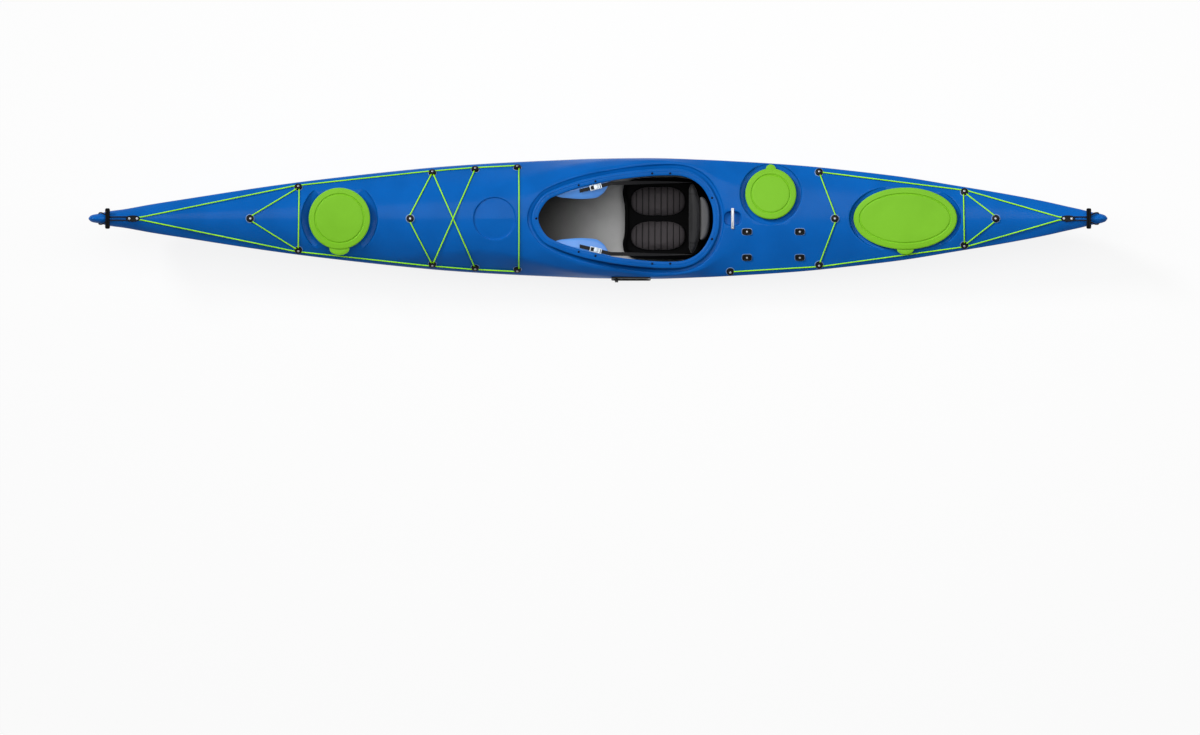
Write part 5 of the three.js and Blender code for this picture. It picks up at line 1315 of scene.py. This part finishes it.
# %% Braces
BRACE_FROM, BRACE_TO, BRACE_SHEET, BRACE_BELOW, BRACE_SLOPE = .1025, .4142, 5, 12, .22
BRACE_REACH, BRACE_ROOT, WELL_TOP = 66, 3, 960
BUCKLE_AT, BUCKLE_IN, BUCKLE_LENGTH, BUCKLE_YAW, STRAP_LIFT = .3274, 20.2, 58, .24, 4.5
ACROSS_WING, ROLL_FROM, ROLL_TOP, ROLL_UNDER = [0, .3, .6, .8, .92, .98, 1], .9, -1.6, 1.2
brace_reach = smooth([(0, 0), (.12, .3), (.55, .92), (.72, 1), (.86, .78), (1, 0)])
# The wings' blue is paler than the deck's blue: painted highlight.
brace_painted_highlight_blue = finish("brace_painted_highlight_blue", (76, 142, 220), (62, 124, 204), .3, .0012, Coat_Weight=.1)
white_metal = finish("white_metal", (214, 222, 230), (184, 196, 206), .35, .0008, Metallic=.35)


def cockpit_half(x, grow):
    """Half the width of the cockpit's opening, grown by a distance, at one place along it."""
    side = sorted((px + nx * grow, y + ny * grow) for px, y, nx, ny in cockpit if y >= 0)
    return float(np.interp(x, *zip(*side)))


def brace_top(x, inward):
    return lip_top(x) - BRACE_BELOW - inward * BRACE_SLOPE


def brace():
    rings = []
    for i in range(49):
        x = in_cockpit(mix(BRACE_FROM, BRACE_TO, i / 48))
        outer = cockpit_half(x, RISER_IN) + BRACE_ROOT
        reach = 3 * BRACE_ROOT + BRACE_REACH * brace_reach(i / 48)
        ring = []
        for way, sheet, roll in ((1, 0, ROLL_TOP), (-1, BRACE_SHEET, ROLL_UNDER)):
            for s in ACROSS_WING[::way]:
                z = brace_top(x, reach * s) - sheet + roll * max(0, s - ROLL_FROM) / .1
                ring.append((x, outer - reach * s, z))
        rings.append(ring)
    made = skin("brace", rings, brace_painted_highlight_blue)
    well = stack("well", cockpit, [(RISER_IN - SEAT_GAP, 0), (RISER_IN - SEAT_GAP, WELL_TOP)])
    return cut(made, well, "INTERSECT")


buckle_x = in_cockpit(BUCKLE_AT)
buckle_y = cockpit_half(buckle_x, RISER_IN) - BUCKLE_IN
front_z, middle_z, back_z = (brace_top(buckle_x + way * BUCKLE_LENGTH / 2, BUCKLE_IN)
                             for way in (-1, 0, 1))
buckle_matrix = (shift(buckle_x, buckle_y, middle_z) @ turn(BUCKLE_YAW, "Z")
                 @ turn(math.atan2(front_z - back_z, BUCKLE_LENGTH), "Y"))


def buckle():
    """A stamped frame with a toothed cam lever that leans over the strap."""
    frame_plate = slab("frame", 29, 13, 4, 0, 3.2, 1, white_metal)
    cut(frame_plate, slab("window", 9, 9.6, 1, -2, 6, .2, white_metal))
    bars = [set_in(slab("bar", 2, 12.6, 1, 2, 8, 1, white_metal), shift(x)) for x in (-27, 27)]
    lever = slab("lever", 15, 11.6, 5, -1.2, 1.2, .8, white_metal)
    for x in (6, 8.5, 11):
        cut(lever, set_in(slab("grip", .6, 9, .5, .6, 3, .2, white_metal), shift(x)))
    set_in(lever, shift(6, 0, 6.2) @ turn(-.05, "Y"))
    return set_in(joined("buckle", [frame_plate] + bars + [lever]), buckle_matrix)


def on_side(made, side):
    """Leaves a starboard piece as it is and mirrors it for port."""
    if side < 0:
        set_in(made, Matrix.Scale(-1, 4, (0, 1, 0)))
        made.data.flip_normals()
    return made


for side, name in SIDES:
    made = on_side(joined("thigh_wing_" + name, [brace(), buckle()]), side)
    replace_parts(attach(made, "boat"), "thigh_brace_" + name)
print("buckle stands at", [round(v, 1) for v in buckle_matrix.translation])

# %% [markdown]
# ## Straps
# Flat webbing is modelled directly, ring by ring, because a remesh would erase it. Each
# strap comes out of the buckle, twists a quarter turn and is sewn to the end of the
# band. Ribs along the weave are drawn by the material.

# %% Webbing
STRAP_WIDE, STRAP_THICK, STRAP_STEP, STRAP_ROOT = 18, 2, 6, .7
TAIL_END, STRAP_IN, STRAP_OUT = -80, -29, 77
WEB_SECTION = ((1, .4), (.94, 1), (.3, .8), (-.3, .8), (-.94, 1), (-1, .4),
               (-1, -.4), (-.94, -1), (.94, -1), (1, -.4))


def through_buckle(x):
    return buckle_matrix @ Vector((x, 0, STRAP_LIFT))


def webbing():
    root_z = BAND_Z + BAND_HIGH * STRAP_ROOT
    leave = Vector((BAND_X - BAND_THICK / 4, BAND_HALF + STRAP_THICK, root_z))
    root = Vector((BAND_X, BAND_HALF - STRAP_WIDE, root_z))
    tail, front, back = map(through_buckle, (TAIL_END, STRAP_IN, STRAP_OUT))
    middle = back.lerp(leave, .5)
    middle.y = max(back.y, leave.y)
    stops = [(tail, 0), (front, 0), (back, 0), (middle, .5), (leave, 1), (root, 1)]
    rings = []
    for (a, turn_a), (b, turn_b) in zip(stops, stops[1:]):
        steps = max(2, round((b - a).length / STRAP_STEP))
        for t in (k / steps for k in range(steps + (b is root))):
            twist = mix(turn_a, turn_b, t) * math.pi / 2
            wide = Vector((0, math.cos(twist), math.sin(twist))) * (STRAP_WIDE / 2)
            thick = Vector((0, -math.sin(twist), math.cos(twist))) * (STRAP_THICK / 2)
            rings.append([tuple(a.lerp(b, t) + wide * w + thick * h) for w, h in WEB_SECTION])
    return skin("webbing", rings, strap_black)


strap_black = woven("strap_black", (22, 22, 24), (8, 8, 8), .0022)
for side, name in SIDES:
    made = on_side(webbing(), side)
    made.name = "band_strap_" + name
    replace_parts(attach(made, "boat"), "back_band")
print("strap rings", len(made.data.vertices) // len(WEB_SECTION))

# %% [markdown]
# ## Bolts round the coaming
# Small dark domes fix the braces and the seat's hangers through the coaming's lip.

# %% Coaming bolts
dome_navy = finish("dome_navy", (4, 13, 30), (3, 9, 22), .35, .0008, shine=.06)
DOME_ROWS = [(5.6, -2), (5.6, .4), (5, 1.5), (3.6, 2.5), (1.8, 3), (.05, 3.1)]
RING_BOLTS = [(-296.7, 0), (-92.8, 160), (-12.5, 179), (260.6, 217), (347.2, 217), (548.2, 99)]
spots = [(x, side * y) for x, y in RING_BOLTS for side in ((1, -1) if y else (1,))]
domes = joined("coaming_bolts", [
    set_in(lathe("dome", DOME_ROWS, 20, dome_navy), shift(x, y, lip_top(x))) for x, y in spots])
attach(domes, "boat")
print("domes", len(spots))

# %% [markdown]
# ## Round cords
# A cord is swept along a path whose corners are first eased into short parabolas, as a
# rope bends. Each face corner stores how far along and how far round it is, so the
# material can braid the strands without a texture map.

# %% Cords
CORD_SIDES, STRANDS, SHORTEST = 12, 3, .05
CORD_END = [(0, 1), (.3, .75), (.42, .3)]


def eased_path(points, reach, steps=3):
    points = [Vector(p) for p in points]
    made = [points[0]]
    for before, corner, after in zip(points, points[1:], points[2:]):
        ways = [v - corner for v in (before, after)]
        ends = [corner + w.normalized() * min(reach, .48 * w.length) for w in ways]
        made += parabola(ends[0], corner, ends[1], steps)
    return made + [points[-1]]


def number_corners(mesh, runs):
    """Stores at each face corner how far round the cord it is, and how far along."""
    around, length = np.zeros(len(mesh.loops)), np.zeros(len(mesh.loops))
    on_rings = CORD_SIDES * len(runs)
    for face in mesh.polygons:
        spots = [mesh.loops[k].vertex_index for k in face.loop_indices]
        turns = [v % CORD_SIDES for v in spots if v < on_rings]
        wraps = 0 in turns and CORD_SIDES - 1 in turns
        for k, v in zip(face.loop_indices, spots):
            if v < on_rings:
                around[k] = (v % CORD_SIDES or wraps * CORD_SIDES) / CORD_SIDES
                length[k] = runs[v // CORD_SIDES]
            else:
                length[k] = runs[0 if v == on_rings else -1]
    for label, values in (("around", around), ("run", length)):
        mesh.attributes.new(label, "FLOAT", "CORNER").data.foreach_set("value", values)


def swept(name, path, radius, material):
    """A round cord along a path, with rounded ends and numbers for its braid."""
    path = [p for i, p in enumerate(path) if i == 0 or (p - path[i - 1]).length > SHORTEST]
    spans = [(b - a).normalized() for a, b in zip(path, path[1:])]
    bends = [(a + b).normalized() for a, b in zip(spans, spans[1:])]
    ways = spans[:1] + bends + spans[-1:]
    across_way = spans[0].orthogonal().normalized()
    rings, runs, run = [], [], 0
    for i, (point, way) in enumerate(zip(path, ways)):
        if i:
            across_way = ways[i - 1].rotation_difference(way) @ across_way
            run += (point - path[i - 1]).length
        across_way = (across_way - way * across_way.dot(way)).normalized()
        other = way.cross(across_way)
        rows = [(0, 1)]
        if i == 0:
            rows = [(-radius * ahead, scale) for ahead, scale in reversed(CORD_END)]
        elif i == len(path) - 1:
            rows = [(radius * ahead, scale) for ahead, scale in CORD_END]
        for ahead, scale in rows:
            rings.append([tuple(point + way * ahead + (across_way * math.cos(t)
                                + other * math.sin(t)) * radius * scale)
                          for t in round_turns(CORD_SIDES)])
            runs.append(run + ahead)
    made = skin(name, rings, material, crease=50)
    number_corners(made.data, runs)
    return made


def braided(name, colour, darker, pitch):
    """A braided sleeve: two sets of strands wind opposite ways round the cord."""
    made = finish(name, colour, darker, .55, .0009, .3, shine=.12)
    tree = made.node_tree
    turns = sum_of(tree, "MULTIPLY", attribute(tree, "around"), STRANDS)
    run = sum_of(tree, "MULTIPLY", attribute(tree, "run"), 1 / pitch)
    waves = []
    for operation in ("ADD", "SUBTRACT"):
        phase = sum_of(tree, "MULTIPLY", sum_of(tree, operation, turns, run), 2 * math.pi)
        waves.append(sum_of(tree, "SINE", phase))
    braid = sum_of(tree, "MULTIPLY", *waves)
    emboss(tree, braid, .6, .0005)
    share = sum_of(tree, "MULTIPLY", sum_of(tree, "ADD", braid, 1), .22)
    recolour(tree, share, (*srgb(*darker), 1))
    return made


line_green = braided("line_green", (176, 255, 12), (150, 236, 6), 7)
rope_black = braided("rope_black", (26, 27, 29), (8, 8, 9), 6)
print("cord finishes", line_green.name, rope_black.name)

# %% [markdown]
# ## Carry toggles
# A waisted grip at each tip hangs on a short rope through the deck. Two elastic cords
# from the end fitting hold it still against the deck until it is pulled.

# %% Toggles and end fittings
TOGGLE_ALONG, TOGGLE_UP, CORD, BOLT_OUT, KEEPER_OUT, LOOP_OUT = 12, 10, 3, 18.7, 8, 28
TOGGLE_SECTION = [
    (1, 0), (.88, .6), (.55, .95), (.25, .85), (0, .62), (-.25, .85), (-.55, .95), (-.88, .6),
    (-1, 0), (-.88, -.6), (-.55, -.95), (0, -.9), (.55, -.95), (.88, -.6),
]
TOGGLE_STATIONS = [
    (-49.5, .42), (-49, .62), (-47.6, .8), (-45, .94), (-41, 1), (-30, .98), (-16, .93), (0, .91),
]
TOGGLE_STATIONS += [(-y, s) for y, s in reversed(TOGGLE_STATIONS[:-1])]
PLATE_ROWS = [
    (-1.5, -4), (0, -3), (0, 4.4), (-.6, 6.4), (-2, 7.6), (-4, 8), (-6.5, 7.4), (-7.5, 6.4),
    (-13, 6.2),
]
WASHER_ROWS = [(6, 5.8), (6, 6.5), (5.4, 7), (4, 7), (4, 5.8)]
LOOP_ROUTE = ((1, 11), (.72, 18), (.4, LOOP_OUT), (0, LOOP_OUT))
KEEPER_START, KEEPER_RISE, KEEPER_STOP, KEEPER_FALL = 20.4, 6, 12.3, 3.3
ENDS = {"bow": (.0186, .0435, -1), "stern": (.9817, .9612, 1)}


def toggle_centre(end):
    x = along(ENDS[end][0])
    return Vector((x, 0, max(ridge_height(x - 6), ridge_height(x + 6)) + TOGGLE_UP + SEAT_GAP))


def toggle(end):
    centre = toggle_centre(end)
    hole = Vector((CORD_HOLES[end][0], 0, CORD_HOLES[end][1]))
    section = catmull([(a, c, 0) for a, c in TOGGLE_SECTION], 3)
    rings = [[(centre.x + a * s * TOGGLE_ALONG, y, centre.z + c * s * TOGGLE_UP)
              for a, c, _ in section] for y, s in TOGGLE_STATIONS]
    grip = skin("grip", rings, black_rubber, crease=60)
    route = []
    for share, y in LOOP_ROUTE:
        route.append(hole.lerp(centre, share))
        route[-1].y = y
    route += [Vector((p.x, -p.y, p.z)) for p in reversed(route)]
    return joined("toggle_" + end, [grip, swept("loop", eased_path(route, 9, 6), CORD, rope_black)])


def end_fitting(end):
    """The plate behind a toggle, with its bolts and the two cords that park the toggle."""
    _, fitting_at, way = ENDS[end]
    x, centre = along(fitting_at), toggle_centre(end)
    parts = [stack("plate", oval(34, 15, 64, 2.3), PLATE_ROWS, black_plastic)]
    for spot in (-BOLT_OUT, BOLT_OUT):
        parts.append(set_in(bolt(4, 1.6, 6.4), shift(spot)))
        parts.append(set_in(lathe("washer", WASHER_ROWS, 24, stainless), shift(spot)))
    parts = [stand(joined("plate", parts), x, 0)]
    for side in (-KEEPER_OUT, KEEPER_OUT):
        start = on_deck(x + way * KEEPER_START, side)[0] + Vector((0, 0, KEEPER_RISE))
        stop = Vector((centre.x - way * KEEPER_STOP, side, centre.z - KEEPER_FALL))
        parts.append(swept("keeper", [start, start.lerp(stop, .5), stop], CORD, rope_black))
    return joined("end_plate_" + end, parts)


for end in ENDS:
    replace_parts(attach(toggle(end), end + "_toggle"), end + "_toggle")
    made = end_fitting(end)
    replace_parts(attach(made, "boat"), end + "_end_fitting")
print("toggles at", [[round(v) for v in toggle_centre(end)] for end in ENDS])

# %% [markdown]
# ## Security bar and deck clips
# A stainless bar spans its recess, so the boat can be locked to a rack. Four black clips
# beside the day hatch hold a paddle; each has one bolt and an edge painted pale as a highlight.

# %% Bar and clips
CLIP_ALONG, CLIP_OUT, BAR_FEET = (.0857, .2198), (-.218, -.643), (43, 43.4)
CLIP_ROWS = [
    (-1, -4), (0, -3), (0, 5), (-.6, 6.8), (-2, 7.8), (-3.4, 8), (-5, 7.2), (-5.6, 6), (-10, 5.8),
]
CLIP_EDGE = [(0, -3), (2.6, -.6), (2.6, .2), (1.4, .6), (.2, .5), (0, -1)]
parts = [slab("lock_bar", 7, 50.5, 3, .3, 6.3, 1.4, stainless)]
for side in (-1, 1):
    foot, head = slab("foot", 6.4, 7, 2.4, -5, 3, .6, stainless), bolt(4, 1.2, 6.1)
    parts += [set_in(made, shift(0, side * y)) for made, y in zip((foot, head), BAR_FEET)]
bar = set_in(joined("lock_bar", parts), shift(bar_x, 0, bar_z))
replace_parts(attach(bar, "boat"), "security_bar")


def clip():
    outline = oval(23, 15, 64, 4)
    body = stack("clip", outline, CLIP_ROWS, black_plastic)
    for spot in (-14, 14):
        cut(body, set_in(slab("eye", 2.6, 7.5, 2, 1, 12, .4), shift(spot)))
    return joined("clip", [body, bolt(5.2, 2.4, 5.6), stack("edge", outline, CLIP_EDGE, painted_highlight_rim)])


clip_places = [(behind(at), across(out)) for at in CLIP_ALONG for out in CLIP_OUT]
for i, (x, y) in enumerate(clip_places, 1):
    made = stand(clip(), x, y)
    made.name = f"paddle_clip_{i}"
    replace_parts(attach(made, "boat"), f"deck_clip_{i}")
print("bar and", len(clip_places), "clips")

# %% [markdown]
# ## Deck lines and bungees
# The green lines run from spool to spool, always round the outer side of the post, and
# the elastic ones cross the deck. At each tip the line runs in under the end fitting,
# which clamps it. A stretched line touches the deck only where the deck stands up to
# meet it, so each span is pulled straight wherever it clears.

# %% Line routes
WRAP, TURN, LEAVE, STEP, EASE = POST + LINE + LINE_GAP, 4, 18, 14, .5
CROSS_REACH, CROSS_LIFT, KNOT_SPOTS = 45, 2 * (LINE + LINE_GAP), (7, 19)
PORT, STARBOARD = (0, -1), (0, 1)


def on_plane(name, place):
    """A point of a line beside a spool's post, in the spool's own tilted plane."""
    point, up_way = on_deck(*PLACES[name])
    fall = up_way.x * (place.x - point.x) + up_way.y * (place.y - point.y)
    return Vector((place.x, place.y, point.z - fall / up_way.z)) + up_way * LINE_HEIGHT


def over_deck(place, extra=0):
    point, up_way = on_deck(place.x, place.y)
    return point + up_way * (LINE_HEIGHT + extra)


def stretched(start, stop, crossing):
    """The line between two places: it bridges hollows and bends over crests."""
    (place_a, point_a), (place_b, point_b) = start, stop
    steps = max(1, math.ceil((place_b - place_a).length / STEP))
    points = [point_a]
    for k in range(1, steps):
        place = place_a.lerp(place_b, k / steps)
        near = (place - crossing).length / CROSS_REACH if crossing else 1
        points.append(over_deck(place, CROSS_LIFT * (1 - near * near) if near < 1 else 0))
    points.append(point_b)

    def clears(first, last):
        low, high, run = points[first].z, points[last].z, last - first
        return all(points[k].z - mix(low, high, (k - first) / run) < EASE
                   for k in range(first + 1, last))
    taut, first = [], 0
    while first < steps:
        first = next(last for last in range(steps, first, -1) if clears(first, last))
        taut.append(points[first])
    return taut[:-1]


def place_of(stop):
    """Where a stop lies in plan: at its spool, or at the spot that is nearest amidships."""
    named = isinstance(stop[0], str)
    return Vector(PLACES[stop[0]] if named else min(stop, key=lambda spot: abs(spot[0]))[:2])


def at_stop(stop, here, before, after):
    """The line's places and points at one stop: at loose spots, tied off, or round a post."""
    if not isinstance(stop[0], str):
        return [(Vector(spot[:2]), over_deck(Vector(spot[:2]), spot[2])) for spot in stop]
    if len(stop) == 1:
        ahead = ((before if after is None else after) - here).normalized()
        spots = [here + ahead * reach for reach in KNOT_SPOTS][::-1 if after is None else 1]
    else:
        into, out = ((centre - here).normalized() for centre in (before, after))
        apex = here + Vector(stop[1]).normalized() * WRAP
        side = Vector((-stop[1][1], stop[1][0])).normalized()
        side = -side if side.dot(out - into) < 0 else side
        first, second = apex - side * TURN, apex + side * TURN
        spots = [first + into * (LEAVE - TURN), first, second, second + out * (LEAVE - TURN)]
    return [(spot, on_plane(stop[0], spot)) for spot in spots]


def line_route(stops, crossing=None):
    centres = [None, *map(place_of, stops), None]
    groups = [at_stop(*row) for row in zip(stops, centres[1:], centres, centres[2:])]
    points = [point for _, point in groups[0]]
    for group, following in zip(groups, groups[1:]):
        lifted = crossing if following is groups[-1] else None
        points += stretched(group[-1], following[0], lifted)
        points += [point for _, point in following]
    return points


def nose(end, side):
    """Where the line meets the end fitting, and the lower spot inside it that clamps it."""
    _, at, way = ENDS[end]
    return [(along(at) - way * reach, side * 2 * LINE, extra)
            for reach, extra in ((34 + 2 * LINE, 0), (24, -2))]


LINES = {
    "bow_deck_line": [
        nose("bow", 1)[::-1], ("bow_starboard", STARBOARD), ("fore_starboard", STARBOARD),
        ("mid_starboard", STARBOARD), ("cockpit_starboard", (1, 1)), ("cockpit_port", (1, -1)),
        ("mid_port", PORT), ("fore_port", PORT), ("bow_port", PORT), nose("bow", -1),
    ],
    "bow_bungee": [("bow_port",), ("bow_starboard", PORT), ("bow_centre", (-1, 0)), ("bow_port",)],
    "fore_bungee": [
        ("mid_port",), ("fore_starboard", PORT), ("fore_centre", (-1, 0)), ("fore_port", STARBOARD),
        ("mid_starboard",),
    ],
    "stern_deck_line": [
        ("day_starboard",), ("stern_starboard", STARBOARD), nose("stern", 1),
        nose("stern", -1)[::-1], ("stern_port", PORT), ("day_port", PORT), ("slider_port",),
    ],
    "day_bungee": [("day_starboard",), ("day_centre", (1, 0)), ("day_port",)],
    "stern_bungee": [
        ("stern_port",), ("stern_starboard", PORT), ("stern_centre", (1, 0)), ("stern_port",),
    ],
}
CROSSINGS = {"fore_bungee": Vector((mix(PLACES["fore_port"][0], PLACES["mid_port"][0], .518), 0))}
for name, stops in LINES.items():
    route = line_route(stops, CROSSINGS.get(name))
    made = swept(name + "_cord", eased_path(route, 6), LINE, line_green)
    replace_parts(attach(made, "boat"), name)
    print(name, "runs mm", round(sum((b - a).length for a, b in zip(route, route[1:]))))

# %% [markdown]
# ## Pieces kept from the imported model
# The bulkheads, foot rests, skeg and cable already have their right shapes. A small
# bevel rounds their edges in the picture, and each gets the finish of its real stuff.

# %% Carried pieces
foam_bulkhead = finish("foam_bulkhead", (92, 95, 99), (74, 77, 81), .85, .004, .5)
anodised = finish("anodised", (46, 48, 52), (34, 36, 40), .42, .0012, Metallic=.6)
skeg_black = finish("skeg_black", (30, 31, 33), (22, 23, 25), .4, .0014)
sleeve_black = finish("sleeve_black", (24, 25, 27), (16, 16, 18), .5, .001)
CARRIED = {
    "front_bulkhead": foam_bulkhead, "day_bulkhead": foam_bulkhead, "rear_bulkhead": foam_bulkhead,
    "footrest_rail_starboard": anodised, "footrest_rail_port": anodised,
    "footrest_pedal_starboard": black_plastic, "footrest_pedal_port": black_plastic,
    "skeg_case": skeg_black, "skeg_blade": skeg_black, "skeg_cable": sleeve_black,
}
for name, material in CARRIED.items():
    repaint(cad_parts[name], material)
    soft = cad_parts[name].modifiers.new("soft_edges", "BEVEL")
    soft.width, soft.segments, soft.limit_method = .0008, 2, "ANGLE"
print("carried pieces", len(CARRIED))

# %% [markdown]
# ## Floor
# A photographer lays the boat on a wide white sheet. To the camera and to reflections
# the sheet is plain white, and the light it gets only shows as a faint shadow.

# %% White sheet
SHEET_HALF, SHEET_DROP, SHEET_WHITE, GLOW_SHARE = 30000, -.5, (.9, .9, .9, 1), .87
sheet = bpy.data.materials.new("white_sheet")
sheet.use_nodes = True
tree = sheet.node_tree
tree.nodes.clear()
paint = add_node(tree, "BsdfDiffuse", {"Color": SHEET_WHITE})
glow = add_node(tree, "Emission", {"Color": WHITE, "Strength": 1})
share_seen = sum_of(tree, "MULTIPLY", background_rays(tree), GLOW_SHARE)
both = add_node(tree, "MixShader", {"Fac": share_seen, 1: paint.outputs[0], 2: glow.outputs[0]})
add_node(tree, "OutputMaterial", {"Surface": both.outputs[0]})
corners = [(x * SHEET_HALF, y * SHEET_HALF, SHEET_DROP)
           for x, y in ((-1, -1), (1, -1), (1, 1), (-1, 1))]
floor = piece("floor", corners, [(0, 1, 2, 3)], sheet)
print("floor side m", 2 * SHEET_HALF * MM)
